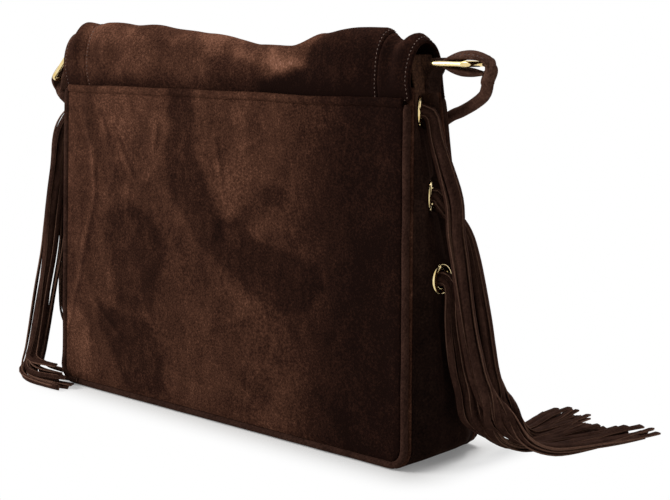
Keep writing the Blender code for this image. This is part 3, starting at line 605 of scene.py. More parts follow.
# Brushed patches: how much lighter or darker, how soft the edge is, and the outline
POCKET_PATCHES = (
    (-0.16, 0.004, (
        (0.053, 0.262), (0.028, 0.262), (0.024, 0.228), (0.022, 0.200), (0.008, 0.174), (-0.005, 0.155),
        (0.005, 0.131), (0.022, 0.132), (0.035, 0.151), (0.055, 0.178), (0.059, 0.204), (0.051, 0.223),
    )),
    (-0.20, 0.004, (
        (0.006, 0.154), (-0.017, 0.157), (-0.042, 0.145), (-0.066, 0.138), (-0.100, 0.135),
        (-0.106, 0.117), (-0.080, 0.093), (-0.049, 0.098), (-0.017, 0.116), (0.004, 0.124),
    )),
    (0.05, 0.007, (
        (0.018, 0.262), (-0.079, 0.262), (-0.074, 0.191), (-0.067, 0.188), (-0.046, 0.182),
        (-0.023, 0.162), (-0.011, 0.160), (0.006, 0.178), (0.019, 0.199),
    )),
    (-0.12, 0.004, (
        (-0.016, 0.156), (-0.027, 0.164), (-0.040, 0.179), (-0.056, 0.187), (-0.067, 0.185),
        (-0.064, 0.176), (-0.052, 0.169), (-0.040, 0.158), (-0.028, 0.153),
    )),
    (-0.05, 0.006, (
        (-0.046, 0.166), (-0.069, 0.178), (-0.112, 0.187), (-0.114, 0.170), (-0.093, 0.145),
        (-0.074, 0.140), (-0.052, 0.146),
    )),
    (-0.04, 0.008, (
        (0.060, 0.118), (0.020, 0.128), (-0.020, 0.113), (-0.050, 0.096), (-0.080, 0.091),
        (-0.083, 0.074), (-0.068, 0.039), (-0.032, 0.010), (0.017, 0.010), (0.045, 0.023), (0.055, 0.080),
    )),
    (0.06, 0.006, ((0.012, 0.119), (-0.020, 0.110), (-0.040, 0.097), (-0.020, 0.090), (0.010, 0.104))),
    (-0.15, 0.006, (
        (0.131, 0.152), (0.106, 0.159), (0.079, 0.155), (0.058, 0.131), (0.067, 0.095), (0.079, 0.077),
        (0.116, 0.075), (0.125, 0.104), (0.131, 0.127),
    )),
    (-0.17, 0.005, (
        (0.143, 0.078), (0.115, 0.070), (0.079, 0.066), (0.068, 0.039), (0.063, 0.014), (0.106, 0.004),
        (0.127, 0.036), (0.144, 0.058),
    )),
    (-0.05, 0.008, ((0.200, 0.171), (0.147, 0.179), (0.143, 0.147), (0.152, 0.107), (0.205, 0.091))),
    (0.07, 0.005, ((0.141, 0.262), (0.056, 0.262), (0.051, 0.220), (0.058, 0.193), (0.082, 0.181),
                   (0.111, 0.189), (0.135, 0.207))),
    (0.09, 0.006, ((0.143, 0.262), (0.087, 0.262), (0.096, 0.217), (0.135, 0.212))),
    (-0.08, 0.004, ((0.157, 0.243), (0.148, 0.243), (0.145, 0.222), (0.150, 0.206), (0.156, 0.216))),
    (0.09, 0.006, ((0.202, 0.070), (0.168, 0.066), (0.158, 0.041), (0.162, 0.013), (0.205, -0.005))),
    (0.04, 0.009, ((-0.112, 0.170), (-0.156, 0.180), (-0.161, 0.157), (-0.116, 0.142))),
)


def pocket_wave(x, z):
    """How far the pocket panel stands out of its flat plane."""
    wave = 0.0012 * noise.noise(Vector((x * 14, z * 11, 3.0)))
    wave += 0.0005 * noise.noise(Vector((x * 40, z * 30, 9.0)))
    for start, end, width, rise in POCKET_FOLDS:
        wave += rise * hump(off_segment(x, z, start, end), width)
    right, left = pocket_row(z)
    near = min(x + right, left - x, z - POCKET_FLOOR)
    wave *= ease(near / 0.020)
    tuck = -0.0009 * hump(max(near, 0.0), 0.0030)
    return wave + tuck


def pocket_sag(x, z):
    """How far the slack upper edge of the pocket rises and falls."""
    return 0.0012 * noise.noise(Vector((x * 16, 0.0, 5.0))) * ease((z - 0.20) / 0.05)


def pocket_brushing_and_painted_light(place):
    """The pocket's brush marks, painted shade and highlights along its creases, and painted shade to the
    right.
    """
    shade = brush_marks_and_painted_light(place, POCKET_PATCHES, 3.0)
    # Painted shade along each crease, and a painted highlight just beside it.
    for start, end in POCKET_CREASE_SHADING:
        shade -= 0.13 * hump(off_segment(place.x, place.z, start, end), 0.0022)
        shade += 0.09 * hump(off_segment(place.x - 0.0042, place.z, start, end), 0.0030)
    # Painted shade: the panel grows darker towards its right side.
    slant = place.x + 0.10 * (place.z - 0.12)
    return shade - 0.38 * (1 - ease((slant + 0.137) / 0.075))


def make_pocket(finish, thread):
    corner_rows = [POCKET_FLOOR + (CORNER - POCKET_INSET) * (1 - math.cos(step * math.pi / 16))
                   for step in range(8)]
    body_rows = [POCKET_STRAIGHT + (POCKET_HEM_START - POCKET_STRAIGHT) * step / 104 for step in range(105)]
    hem = ((0.2441, -0.0002), (0.2446, -0.0009), (0.2451, -0.0009), (0.2457, 0.0000), (0.2464, 0.0009),
           (0.2474, 0.0013), (0.2486, 0.0013), (0.2495, 0.0009), (POCKET_TOP, 0.0002))
    rows = [(z, 0.0) for z in corner_rows + body_rows] + list(hem)
    columns = 170

    def point(i, j):
        z, swell = rows[j]
        right, left = pocket_row(z)
        x = -right + (right + left) * i / columns
        y = POCKET_MIDDLE + swell + pocket_wave(x, min(z, POCKET_HEM_START))
        return Vector((x, y, z + pocket_sag(x, z)))

    mesh = mesh_from("slip_pocket", sheet_shape(columns, len(rows) - 1, point))
    keep_brushing_and_painted_light(mesh, pocket_brushing_and_painted_light)
    pocket = finished("slip_pocket", mesh, [finish], ["back_pocket"])
    give_thickness(pocket, SUEDE)
    line = [Vector((x, POCKET_MIDDLE + SUEDE / 2 - 0.0009 + pocket_wave(x, POCKET_HEM_START),
                    POCKET_SEAM + pocket_sag(x, POCKET_SEAM)))
            for x in [-0.172 + 0.344 * step / 80 for step in range(81)]]
    stitches = bmesh.new()
    sew(stitches, stitch_places(line, lambda place: Vector((0, 1, 0)), 0.0036), 0.0027, 0.0007, 0.0006)
    finished("pocket_stitches", mesh_from("pocket_stitches", stitches), [thread])


def wall_row(z):
    """How far a wall reaches each way at a height, round at the lower corners."""
    above = max(CORNER - z, 0.0)
    cut = CORNER - math.sqrt(max(CORNER * CORNER - above * above, 0.0))
    return tuple(side_edge(side, z) - cut for side in (RIGHT, LEFT))


def make_wall(name, node, finish, plane, seed):
    """A back or front wall: a panel of suede with slack in it, held along its edges."""
    rows = [CORNER * (1 - math.cos(step * math.pi / 12)) for step in range(6)]
    rows += [CORNER + (MOUTH - CORNER) * step / 50 for step in range(51)]
    columns = 80

    def point(i, j):
        z = rows[j]
        right, left = wall_row(z)
        x = -right + (right + left) * i / columns
        slack = 0.0010 * noise.noise(Vector((x * 13, z * 11, seed)))
        near = min(x + right, left - x, z)
        return Vector((x, plane(z) + slack * ease(near / 0.02), z))

    wall = finished(name, mesh_from(name, sheet_shape(columns, len(rows) - 1, point)), [finish],
                    [node])
    give_thickness(wall, SUEDE)


def corner_line(inset, floor, top):
    """The piping's line down one side, along the bottom and up the other side."""
    radius = CORNER - inset
    points = []
    for side, start in ((RIGHT, 180), (LEFT, 270)):
        foot = side * (side_edge(side, 0.0) - inset - radius)
        corner = []
        for step in range(13):
            angle = math.radians(start + 90 * step / 12)
            corner.append((foot + radius * math.cos(angle), floor + radius + radius * math.sin(angle)))
        head = [(side * (side_edge(side, z) - inset), z) for z in
                [top + (floor + radius - top) * step / 24 for step in range(24)]]
        if side == RIGHT:
            points += head + corner
            run = side_edge(LEFT, 0.0) + side_edge(RIGHT, 0.0) - 2 * (inset + radius)
            points += [(foot + run * step / 48, floor) for step in range(1, 48)]
        else:
            points += corner + head[::-1]
    return points


def make_piping(finish):
    for name, node, top, depth in (
        ("back_piping", "piping_back", PIPING_TOP, lambda z: PIPING_BACK),
        ("front_piping", "piping_front", PIPING_TOP + FRONT_PIPING_RISE,
         lambda z: front_face(z) - PIPING_STANDOFF),
    ):
        route = [Vector((x, depth(z), z)) for x, z in corner_line(PIPING_INSET, PIPING_FLOOR, top)]
        route = even_route(route, 260)
        for index, place in enumerate(route):
            place.y += 0.0004 * noise.noise(Vector((index * 0.11, 4.0, 1.0)))
            place.x += 0.0003 * noise.noise(Vector((index * 0.09, 7.0, 2.0)))
        mesh = tube_mesh(name, route, PIPING_RADIUS, around=12,
                         swell=lambda share: 0.6 + 0.4 * ease(min(share, 1 - share) / 0.005))
        finished(name, mesh, [finish], [node])


EAR_HEIGHT = 0.021
GUSSET_FOLDS = (
    (0.15, 0.25, 0.35, 0.10, 0.10, -0.0016), (0.80, 0.24, 0.62, 0.09, 0.09, -0.0014),
    (0.35, 0.12, 0.25, 0.02, 0.10, -0.0012), (0.66, 0.11, 0.78, 0.01, 0.11, 0.0012),
    (0.50, 0.225, 0.50, 0.20, 0.10, -0.0008),
)


def make_gusset(name, node, side, finish):
    radius = CORNER - SUEDE / 2
    rows = []
    for step in range(8):
        angle = math.radians(270 + 90 * step / 8)
        rows.append((-radius + radius * math.cos(angle), CORNER + radius * math.sin(angle)))
    rows += [(0.0, CORNER + (MOUTH - CORNER) * step / 120) for step in range(121)]
    rows += [(0.0, MOUTH + EAR_HEIGHT * step / 14) for step in range(1, 15)]
    columns = 40

    def ear(across, z):
        """The gusset's top, which follows the arch of the flap from inside and is gathered there."""
        front = front_face(min(z, ARCH_FOOT)) + SUEDE + GUSSET_CLEARANCE
        back = BACK_FACE - SUEDE - GUSSET_CLEARANCE
        up = ease((z - MOUTH) / EAR_HEIGHT)
        arch = max(z - ARCH_FOOT, 0.0) / (height_at(FLAP_CREST, side * FLAP_EDGE) - SUEDE - ARCH_FOOT)
        front -= 0.0010 * up
        back += 0.0028 * up
        middle, reach = (front + back) / 2, (back - front) / 2 * math.sqrt(max(1 - arch * arch, 0.0))
        x = side_edge(side, z) - SUEDE / 2 - 0.0030 * up
        x -= (0.0010 + 0.0012 * math.sin(across * 19 + side)) * up * math.sin(math.pi * across)
        return Vector((side * x, middle + reach * (2 * across - 1), z))

    def point(i, j):
        inward, z = rows[j]
        across = i / columns
        if z > MOUTH:
            return ear(across, z)
        fold = 0.0008 * noise.noise(Vector((across * 3, z * 24, side * 5.0)))
        for a0, z0, a1, z1, width, rise in GUSSET_FOLDS:
            away = off_segment(across * 0.35, z, (a0 * 0.35, z0), (a1 * 0.35, z1))
            fold += rise * hump(away, width * 0.25) * ease(z / 0.03)
        place = gusset_point(side, across, z, z / CORNER, fold)
        place.x += side * inward
        return place

    shape = sheet_shape(columns, len(rows) - 1, point)
    holes = [eyelet_seat(side, eyelet)[0] for eyelet in EYELETS]
    bored = [face for face in shape.faces
             if any((face.calc_center_median() - hole).length < EYELET_BORE + 0.0012 for hole in holes)]
    bmesh.ops.delete(shape, geom=bored, context="FACES")
    if side == LEFT:
        bmesh.ops.reverse_faces(shape, faces=shape.faces[:])
    mesh = mesh_from(name, shape)
    # Painted light and shade on the gusset: lighter at its top, darker towards the bottom, over a random
    # change of tone.
    keep_brushing_and_painted_light(mesh, lambda place: 0.10 * noise.noise(place * 20)
                  + 0.30 * ease((place.z - 0.236) / 0.020) - 0.22 * ease((0.160 - place.z) / 0.080))
    gusset = finished(name, mesh, [finish], [node])
    give_thickness(gusset, SUEDE)


# The flap

FLAP_FOLDS = (
    ((0.005, 0.262), (-0.060, 0.283), 0.010, 0.0030), ((-0.060, 0.283), (-0.108, 0.297), 0.011, 0.0040),
    ((-0.010, 0.276), (-0.050, 0.268), 0.012, -0.0035), ((-0.085, 0.285), (-0.080, 0.258), 0.011, -0.0020),
    ((-0.112, 0.290), (-0.120, 0.262), 0.012, 0.0018), ((-0.146, 0.292), (-0.150, 0.255), 0.006, -0.0018),
    ((-0.160, 0.286), (-0.162, 0.258), 0.006, -0.0020), ((-0.171, 0.290), (-0.168, 0.258), 0.005, 0.0012),
    ((0.060, 0.290), (0.020, 0.262), 0.012, -0.0016), ((0.098, 0.292), (0.086, 0.268), 0.010, 0.0018),
    ((0.120, 0.290), (0.118, 0.262), 0.009, -0.0018), ((0.136, 0.296), (0.128, 0.276), 0.007, 0.0022),
    ((0.040, 0.284), (0.000, 0.286), 0.010, 0.0014), ((0.165, 0.296), (0.166, 0.262), 0.006, 0.0016),
)


def flap_rows(x):
    """The flap's middle surface at one x, from its back edge over the top to its front hem."""
    crest = height_at(FLAP_CREST, x) - SUEDE / 2
    back = FLAP_BACK + FLAP_SWELL
    front = front_face(ARCH_FOOT) - FLAP_EASE
    rows = [(FLAP_BACK, FLAP_START), (FLAP_BACK, PIPING_TOP), (FLAP_BACK, POCKET_TOP + 0.002)]
    middle = (back + front) / 2
    reach = (back - front) / 2
    for step in range(9):
        angle = math.radians(180 * step / 8)
        rows.append((middle + reach * math.cos(angle),
                     ARCH_FOOT + (crest - ARCH_FOOT) * math.sin(angle)))
    hem = FLAP_HEM + FLAP_HEM_RISE * (abs(x) / FLAP_EDGE) ** 4
    for share in (0.065, 0.09, 0.35, 0.68, 1.0):
        z = ARCH_FOOT + (hem - ARCH_FOOT) * share
        rows.append((front_face(z) - FLAP_EASE, z))
    return rows


FLAP_ROWS = len(flap_rows(0.0)) - 1
FLAP_FIRST_WIDE = 2
FLAP_LAST_WIDE = FLAP_ROWS - 4


def flap_at(x, row):
    """A point of the flap at x and a row, which need not be whole."""
    y, z = through(flap_rows(x), row)
    arch = ease((row - 2) / 1.5) * ease((11 - row) / 1.5)
    if arch and row < 7.5:
        for start, end, width, rise in FLAP_FOLDS:
            y += rise * hump(off_segment(x, z, start, end), width) * arch
    y += 0.0012 * noise.noise(Vector((x * 26, z * 26, 2.0))) * arch
    z += 0.0016 * noise.noise(Vector((x * 30, y * 40, 8.0))) * arch
    if row > 12:
        y -= 0.0006 + 0.0008 * noise.noise(Vector((x * 12, z * 10, 6.0))) * ease(row - 12)
    hidden = max(ease(FLAP_FIRST_WIDE - row), ease(row - FLAP_LAST_WIDE))
    x *= 1 - hidden * FLAP_TUCK / FLAP_EDGE * ease((abs(x) - FLAP_SEAM) / (FLAP_EDGE - FLAP_SEAM))
    return Vector((x, y, z))


def flap_out(x, row):
    """The direction out of the flap's surface."""
    along = flap_at(x, min(row + 0.05, FLAP_ROWS)) - flap_at(x, row - 0.05 if row > 0.05 else 0.0)
    across = flap_at(x + 0.0008, row) - flap_at(x - 0.0008, row)
    return along.cross(across).normalized()


# Painted highlights and painted shade on the back of the flap: how much lighter or darker, how soft the
# edge is, and the outline. The lighter ones are painted highlights, the darker ones painted shade beside
# and under the folds and over the right end.
FLAP_LIGHT_AND_SHADE = (
    (0.20, 0.006, (
        (0.027, 0.291), (-0.010, 0.286), (-0.046, 0.277), (-0.077, 0.275), (-0.084, 0.271),
        (-0.073, 0.268), (-0.052, 0.264), (-0.040, 0.272), (-0.013, 0.276), (0.014, 0.280),
    )),
    (0.15, 0.004, ((-0.045, 0.282), (-0.080, 0.278), (-0.087, 0.271), (-0.067, 0.266), (-0.050, 0.270))),
    (-0.34, 0.004, (
        (-0.087, 0.270), (-0.091, 0.282), (-0.105, 0.293), (-0.105, 0.310), (-0.190, 0.310),
        (-0.190, 0.060), (-0.042, 0.060), (-0.042, 0.249), (-0.044, 0.259), (-0.067, 0.264),
    )),
    (-0.10, 0.007, (
        (0.008, 0.274), (-0.013, 0.274), (-0.037, 0.268), (-0.047, 0.261), (-0.044, 0.249),
        (-0.006, 0.249), (0.008, 0.265),
    )),
    (-0.15, 0.006, ((0.176, 0.300), (0.162, 0.300), (0.156, 0.249), (0.179, 0.249))),
    (0.05, 0.007, (
        (0.160, 0.296), (0.138, 0.300), (0.120, 0.290), (0.090, 0.288), (0.064, 0.272), (0.088, 0.260),
        (0.112, 0.262), (0.123, 0.278), (0.154, 0.282),
    )),
)


def flap_painted_light_and_tone(place):
    """Painted highlights and shade on the back side, fading over the fold; random tone on the front."""
    # Painted highlight along the crest, and painted shade low on the back, where the flap goes in behind
    # the pocket.
    shade = brush_marks_and_painted_light(place, FLAP_LIGHT_AND_SHADE, 8.0) + 0.11 * ease((place.z - 0.280) / 0.010)
    shade -= 0.16 * ease((0.266 - place.z) / 0.014)
    behind = ease((place.y + 0.020) / 0.030)
    front = 0.10 * noise.noise(Vector((place.x * 14, place.z * 14, 21.0))) - 0.02
    return shade * behind + front * (1 - behind)


def make_flap(finish, thread):
    def strip(name, node, start, end, columns):
        steps = 150

        def point(i, j):
            return flap_at(start + (end - start) * i / columns, FLAP_ROWS * j / steps)

        shape = sheet_shape(columns, steps, point)
        mesh = mesh_from(name, shape)
        keep_brushing_and_painted_light(mesh, flap_painted_light_and_tone)
        panel = finished(name, mesh, [finish], [node])
        give_thickness(panel, SUEDE)

    strip("flap_right_end", "flap_end_right", -FLAP_EDGE, -FLAP_SEAM - FLAP_SEAM_GAP, 14)
    strip("flap_middle", "flap_centre", -FLAP_SEAM, FLAP_SEAM, 150)
    strip("flap_left_end", "flap_end_left", FLAP_SEAM + FLAP_SEAM_GAP, FLAP_EDGE, 14)
    stitches = bmesh.new()
    rows = [FLAP_ROWS * step / 200 for step in range(201)]
    for x in [side * inset for side in (RIGHT, LEFT)
              for inset in (FLAP_SEAM - SEAM_STITCH_INSET, FLAP_EDGE - EDGE_STITCH_INSET)]:
        line = [flap_at(x, row) + flap_out(x, row) * (SUEDE / 2 + 0.0001) for row in rows]
        outs = [flap_out(x, row) for row in rows]

        def out_at(place):
            nearest = min(range(len(line)), key=lambda index: (line[index] - place).length_squared)
            return outs[nearest]

        sew(stitches, stitch_places(line, out_at, 0.0028), 0.0016, 0.0007, 0.0005)
    finished("flap_stitches", mesh_from("flap_stitches", stitches), [thread])


# Eyelets, rings, tabs and the strap's ends

def make_eyelet(name, node, side, eyelet, finish):
    """A turned ring with a rounded flange and a barrel through the suede."""
    seat = SUEDE / 2 + EYELET_SEAT
    barrel = EYELET_BORE + 0.0008
    middle = (EYELET_BORE + EYELET_FLANGE) / 2
    half = (EYELET_FLANGE - EYELET_BORE) / 2
    profile = []
    for step in range(11):
        angle = math.radians(180 - 18 * step)
        profile.append((middle + half * math.cos(angle), seat + EYELET_RISE * math.sin(angle)))
    profile += [(EYELET_FLANGE - 0.0002, seat - 0.0002), (barrel, seat - 0.0002), (barrel, -seat),
                (EYELET_BORE, -seat)]
    shape = bmesh.new()
    points = [shape.verts.new((radius, 0, height)) for radius, height in profile]
    edges = [shape.edges.new((here, there)) for here, there in zip(points, points[1:] + points[:1])]
    bmesh.ops.spin(shape, geom=points + edges, axis=(0, 0, 1), cent=(0, 0, 0), angle=math.tau, steps=40,
                   use_merge=True)
    bmesh.ops.remove_doubles(shape, verts=shape.verts[:], dist=0.00001)
    bmesh.ops.recalc_face_normals(shape, faces=shape.faces[:])
    place, outward = eyelet_seat(side, eyelet)
    turn = outward.to_track_quat("Z", "Y").to_matrix().to_4x4()
    bmesh.ops.transform(shape, verts=shape.verts[:],
                        matrix=Matrix.Translation(place - outward * SUEDE / 2) @ turn)
    finished(name, mesh_from(name, shape), [finish], [node])


def ring_frame(side):
    turn = Matrix.Rotation(math.radians(LEFT_RING_DROP if side == LEFT else 0), 4, "Y")
    face = Matrix.Rotation(math.radians(180), 4, "Z") if side == RIGHT else Matrix.Identity(4)
    return Matrix.Translation((side * HINGE[0], HINGE[1], HINGE[2])) @ turn @ face


def make_ring(name, node, side, body, finish):
    """A cast link with round corners, from round wire."""
    half = RING_WIDTH / 2 - RING_CORNER
    route = []
    for x, y, start in (
        (RING_LENGTH - RING_CORNER, half, 0), (RING_CORNER, half, 90),
        (RING_CORNER, -half, 180), (RING_LENGTH - RING_CORNER, -half, 270),
    ):
        for step in range(11):
            angle = math.radians(start + 9 * step)
            route.append(Vector((x + RING_CORNER * math.cos(angle), y + RING_CORNER * math.sin(angle), 0)))
    mesh = tube_mesh(name, route, RING_WIRE, around=20, closed=True)
    mesh.transform(ring_frame(side))
    finished(name, mesh, [finish], [node], body)


def make_tab(name, node, side, finish, thread):
    """A strip of suede rolled over the ring's bar, its two tails sewn to the gusset."""
    bore = RING_WIRE + 0.0003 + TAB_LEATHER / 2
    wall = side_edge(side, 0.2545) + 0.0006 - HINGE[0]
    profile = [(wall + 0.0009, -0.0190), (wall + 0.0009, -0.0120), (-bore * 0.9, -0.0050)]
    for step in range(15):
        angle = math.radians(195 - 16.8 * step)
        profile.append((bore * math.cos(angle), bore * math.sin(angle)))
    profile += [(wall + 0.0032, -0.0055), (wall + 0.0026, -0.0120), (wall + 0.0026, -0.0190)]
    steps = 60
    columns = 8

    def point(i, j):
        x, z = through([(px, 0.0, pz) for px, pz in profile], (len(profile) - 1) * j / steps).xz
        across = 2 * i / columns - 1
        narrow = 1 - 0.12 * ease(abs(j / steps - 0.5) * 3 - 0.6)
        y = across * TAB_WIDTH / 2 * narrow
        return Vector((side * (HINGE[0] + x), HINGE[1] + y, HINGE[2] + z))

    shape = sheet_shape(columns, steps, point)
    tab = finished(name, mesh_from(name, shape), [finish], [node])
    give_thickness(tab, TAB_LEATHER)
    stitches = bmesh.new()
    places = []
    for step in range(5):
        y = (step - 2) * 0.0028
        places.append((Vector((side * (HINGE[0] + wall + 0.0035), HINGE[1] + y, HINGE[2] - 0.0085)),
                       Vector((0, 1, 0)), Vector((side, 0, 0))))
    sew(stitches, places, 0.0020, 0.0006, 0.0005)
    finished(name + "_stitches", mesh_from(name + "_stitches", stitches), [thread])


def make_strap_end(name, node, side, body, finish, thread):
    """The strap's flattened end: a leaf of suede folded through the ring, sewn where it meets."""
    half = RING_WIDTH / 2 - RING_WIRE - 0.0007
    placing = ring_frame(side)
    last = len(STRAP_END) - 1
    steps, columns = 90, 12

    def leaf(across, share):
        x, z = through([(px, 0.0, pz) for px, pz in STRAP_END], last * share).xz
        from_tip = min(share, 1 - share) * last / 3
        width = half * (1 - 0.55 * (1 - ease(from_tip)))
        crown = 1 - 0.54 * across * across * ease(from_tip)
        return placing @ Vector((x, width * across, z * crown))

    shape = sheet_shape(columns, steps, lambda i, j: leaf(2 * i / columns - 1, j / steps))
    end = finished(name, mesh_from(name, shape), [finish], [node], body)
    give_thickness(end, LEAF_THICKNESS)
    ends = STRAP_RIGHT[:2] if side == RIGHT else STRAP_LEFT[:-3:-1]
    tube_end, tube_next = [placing.inverted() @ Vector(place) for place in ends]
    neck = [Vector((0.0340, 0, 0.0004)), Vector((0.0378, 0, -0.0006)), Vector((0.0400, 0, -0.0040)),
            tube_end, tube_end.lerp(tube_next, 0.4)]
    mesh = tube_mesh(name + "_neck", [placing @ place for place in even_route(neck, 24)], NECK_RADIUS,
                     around=20, swell=lambda share: 0.35 + 0.65 * ease(share / 0.45))
    finished(name + "_neck", mesh, [finish], (), body)
    stitches = bmesh.new()
    for across in (-0.78, 0.78):
        line = [leaf(across, 0.06 + 0.40 * step / 30) for step in range(31)]
        outs = placing.to_3x3() @ Vector((0.0, 0, 1.0))
        line = [place + outs * 0.0010 for place in line]
        sew(stitches, stitch_places(line, lambda place: outs, 0.0032), 0.0022, 0.0006, 0.0005)
    finished(name + "_stitches", mesh_from(name + "_stitches", stitches), [thread], (), body)


# The fringe

def carried_frames(path, across):
    """Directions across and out from each point of a path, turned as little as possible."""
    frames = []
    for index, place in enumerate(path):
        before = path[max(index - 1, 0)]
        after = path[min(index + 1, len(path) - 1)]
        along = (after - before).normalized()
        across = (across - along * across.dot(along)).normalized()
        frames.append((place, across, across.cross(along).normalized()))
    return frames


def make_fringe(name, node, side, eyelet, route, finishes, strands, seed):
    """A strip cut into strands and rolled into its eyelet. Each strand hangs in its own line and
    trails on the floor. The first bundle on the left is looped under and doesn't fan out."""
    chance = random.Random(seed)
    looped = side == LEFT and eyelet == EYELETS[0]
    fan, spread = (0.0015, 0.0115) if looped else (0.0085, 0.0)
    seat, out = eyelet_seat(side, eyelet)
    turn = seat + out * 0.0050
    bend = turn + out * 0.0040 - Vector((0, 0, 0.0050))
    samples = 400
    path = even_route([seat - out * 0.0040, seat, turn, bend] + [Vector(p) for p in route], samples)
    frames = carried_frames(path, Vector((0, 1, 0)))
    _, last_across, last_up = frames[-1]
    turn_flat = math.atan2(-last_across.z, side * last_up.z) % math.pi
    length = sum((there - here).length for here, there in zip(path, path[1:]))
    rows = 64
    shape = bmesh.new()
    for strand in range(strands):
        angle = math.tau * (strand + chance.uniform(-0.2, 0.2)) / strands
        inside = (0.45, 0.80, 1.10)[strand % 3] + chance.uniform(-0.08, 0.08)
        reach = length * chance.uniform(0.90, 1.0)
        own = Vector((chance.uniform(0, 90), chance.uniform(0, 90), 0.0))
        level = 0.0012 + 0.0014 * (strand % 5) + 0.0004 * chance.random()
        strip = chance.uniform(0.0036, 0.0050)
        lean = chance.uniform(-0.5, 0.5)
        line = []
        for j in range(rows + 1):
            distance = reach * (j / rows) ** 1.15
            place, across, up = frames[round(distance / length * (samples - 1))]
            up = up * side
            opened = ease((distance - 0.0145) / 0.056)
            laid = 0.0 if looped else ease((0.060 - place.z) / 0.046)
            tip = ease((distance / length - 0.70) / 0.30)
            wide_way = across * math.cos(turn_flat * laid) + up * math.sin(turn_flat * laid)
            deep_way = up * math.cos(turn_flat * laid) - across * math.sin(turn_flat * laid)
            width = 0.0040 + 0.0036 * opened + fan * tip
            depth = 0.0040 + 0.0012 * opened + spread * ease((0.100 - place.z) / 0.060) - 0.0026 * laid
            centre = place + wide_way * width * inside * math.sin(angle)
            centre += deep_way * depth * inside * math.cos(angle)
            stray = 0.0026 * opened + 0.0050 * tip
            centre += wide_way * stray * noise.noise(own + Vector((distance * 11, 0, 0)))
            centre += deep_way * stray * 0.6 * noise.noise(own + Vector((0, distance * 11, 5)))
            low = level * (0.4 + 0.6 * (1 - tip)) + 0.0009
            if centre.z < low + 0.004:
                centre.z = low + 0.004 * math.exp((centre.z - low - 0.004) / 0.004)
            wide = wide_way * math.cos(angle) - deep_way * math.sin(angle)
            wide = (wide * (1 - laid) + wide_way * laid * (1 if math.cos(angle) > 0 else -1)).normalized()
            line.append((centre, wide, opened, laid))

        def point(i, j):
            centre, wide, opened, laid = line[j]
            along = (line[min(j + 1, rows)][0] - line[max(j - 1, 0)][0]).normalized()
            twist = Matrix.Rotation(lean * opened * math.sin(j * 0.16 + own.x), 3, along)
            wide = twist @ (wide - along * wide.dot(along)).normalized()
            breadth = 0.0028 + (strip - 0.0028) * opened
            crown = along.cross(wide) * 0.0002 * (1 if i == 1 else 0)
            return centre + wide * breadth * (i - 1) / 2 + crown

        sheet_shape(2, rows, point, into=shape)
    mesh = mesh_from(name, shape)
    keep_brushing_and_painted_light(mesh, lambda place: 0.10 * noise.noise(place * Vector((150, 150, 8))))
    fringe = finished(name, mesh, finishes, [node])
    give_thickness(fringe, STRAND_THICKNESS, edge_finish=1)


# Floor and light

def make_stage():
    shape = bmesh.new()
    bmesh.ops.create_grid(shape, x_segments=1, y_segments=1, size=6.0)
    floor = bpy.data.objects.new("floor", mesh_from("floor", shape))
    bpy.context.scene.collection.objects.link(floor)
    material, tree, shader, place = new_finish("painted_floor")
    shader.inputs["Base Color"].default_value = linear("e9e8e6")
    shader.inputs["Roughness"].default_value = 0.9
    mirrored = add(tree, "ShaderNodeVectorMath", {"operation": "ABSOLUTE"}, {0: place})
    beside = add(tree, "ShaderNodeVectorMath", {"operation": "SUBTRACT"}, {
        0: mirrored.outputs[0], 1: (HALF_WIDTH, BACK_FACE, 0.0),
    })
    beside = add(tree, "ShaderNodeVectorMath", {"operation": "MAXIMUM"}, {
        0: beside.outputs[0], 1: (0.0, 0.0, 0.0),
    })
    away = add(tree, "ShaderNodeVectorMath", {"operation": "LENGTH"}, {0: beside.outputs[0]})
    fade = add(tree, "ShaderNodeMapRange", {"interpolation_type": "SMOOTHSTEP"}, {
        "Value": away.outputs["Value"], "From Min": -0.015, "From Max": 0.045, "To Min": 0.0, "To Max": 1.0,
    })
    share = reckon(tree, "MULTIPLY", seen_rays(tree), fade.outputs[0])
    white = add(tree, "ShaderNodeEmission", inputs={"Strength": 1.0})
    mixed = add(tree, "ShaderNodeMixShader", inputs={
        0: share, 1: shader.outputs[0], 2: white.outputs[0],
    })
    tree.links.new(mixed.outputs[0], tree.nodes["Material Output"].inputs["Surface"])
    floor.data.materials.append(material)

    world = bpy.data.worlds.new("studio")
    bpy.context.scene.world = world
    world.use_nodes = True
    tree = world.node_tree
    soft = tree.nodes["Background"]
    soft.inputs["Color"].default_value = (1.0, 1.0, 1.0, 1.0)
    soft.inputs["Strength"].default_value = 0.45
    white = add(tree, "ShaderNodeBackground", inputs={"Color": (1, 1, 1, 1), "Strength": 1.0})
    mixed = add(tree, "ShaderNodeMixShader", inputs={
        0: seen_rays(tree), 1: soft.outputs[0], 2: white.outputs[0],
    })
    tree.links.new(mixed.outputs[0], tree.nodes["World Output"].inputs["Surface"])

    for name, place, size, power in (
        ("key_light", (0.85, 1.30, 1.15), 0.9, 28.0),
        ("top_light", (0.00, -0.40, 1.60), 0.8, 14.0),
    ):
        lamp = bpy.data.lights.new(name, "AREA")
        lamp.size = size
        lamp.energy = power
        light = bpy.data.objects.new(name, lamp)
        light.location = place
        light.rotation_euler = (Vector((0, 0, 0.14)) - Vector(place)).to_track_quat("-Z", "Y").to_euler()
        bpy.context.scene.collection.objects.link(light)
    bpy.context.scene.view_settings.view_transform = "Standard"
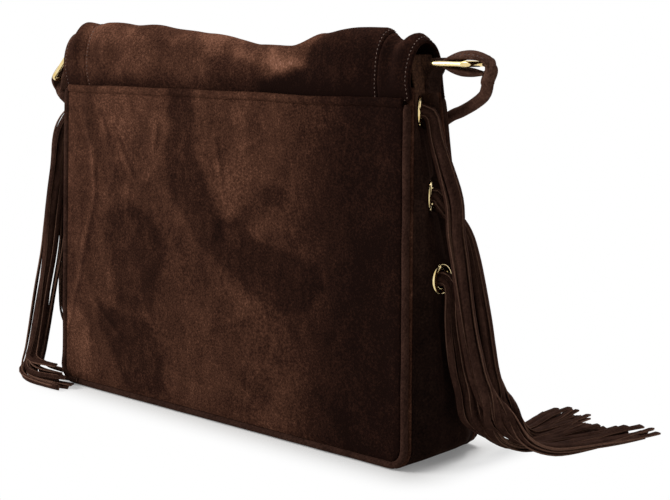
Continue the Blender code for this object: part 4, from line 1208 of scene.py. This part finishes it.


# The top stop is reached mostly by the flap's painted highlights.
SUEDE_SHADES = (
    (0.10, "120806"), (0.35, "26150f"), (0.60, "432a1f"), (0.90, "714c3b"), (1.00, "8a6252"),
)
# The gussets' and tabs' suede: painted shade, a darker copy of the panel suede's tones.
GUSSET_SHADED_TONES = ((0.10, "0a0504"), (0.40, "1c110d"), (0.75, "33221b"), (1.00, "523829"))
FRINGE_SHADES = ((0.10, "160d0a"), (0.40, "271813"), (0.90, "463027"))
STRAP_SHADES = ((0.10, "1e120e"), (0.40, "36231c"), (0.90, "61463a"))
EDGE_SHADES = ((0.10, "3d2a22"), (0.90, "745647"))

make_camera()
panel_suede = brushed_suede("brushed_panel_suede", SUEDE_SHADES)
# Painted shade: a darker copy of the panel suede for the gussets and tabs.
shaded_gusset_suede = brushed_suede("gusset_painted_shade_suede", GUSSET_SHADED_TONES, patch_mm=30)
fringe_suede = brushed_suede("fringe_suede", FRINGE_SHADES, patch_mm=18)
cut_edge = brushed_suede("cut_suede_edge", EDGE_SHADES, patch_mm=12, relief=0.0002)
strap_suede = brushed_suede("rolled_suede", STRAP_SHADES, patch_mm=22)
make_strap(strap_suede)
flap_thread = sewing_thread("flap_thread", "6b4f40", "35241c")
dark_thread = sewing_thread("dark_thread", "331c14", "1c0e0a")
gold = cast_gold("plated_gold")

make_pocket(panel_suede, dark_thread)
make_wall("back_wall", "back_panel", panel_suede, lambda z: BACK_FACE - SUEDE / 2, 11.0)
make_wall("front_wall", "front_panel", panel_suede, lambda z: front_face(z) + SUEDE / 2, 17.0)
make_piping(fringe_suede)
make_flap(panel_suede, flap_thread)
for side, word, routes in ((LEFT, "left", LEFT_ROUTES), (RIGHT, "right", RIGHT_ROUTES)):
    make_gusset(f"{word}_gusset", f"gusset_{word}", side, shaded_gusset_suede)
    make_tab(f"{word}_tab", f"strap_tab_{word}", side, shaded_gusset_suede, dark_thread)
    make_ring(f"{word}_ring", f"ring_{word}", side, f"ring_{word}", gold)
    make_strap_end(f"{word}_strap_end", f"strap_end_{word}", side, f"ring_{word}", strap_suede, dark_thread)
    for number, (eyelet, route) in enumerate(zip(EYELETS, routes), 1):
        make_eyelet(f"{word}_eyelet_{number}", f"eyelet_{word}_{number}", side, eyelet, gold)
        make_fringe(f"{word}_fringe_{number}", f"tassel_{word}_{number}", side, eyelet, route,
                    [fringe_suede, cut_edge], 17, 40 * number + 7 * side)

for node, finish in (
    ("base_panel", panel_suede), ("lining", woven_lining("twill_lining")),
    ("base_board", grey_board("pressed_board")),
):
    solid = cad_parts[node]
    solid.data.materials.clear()
    solid.data.materials.append(finish)

make_stage()
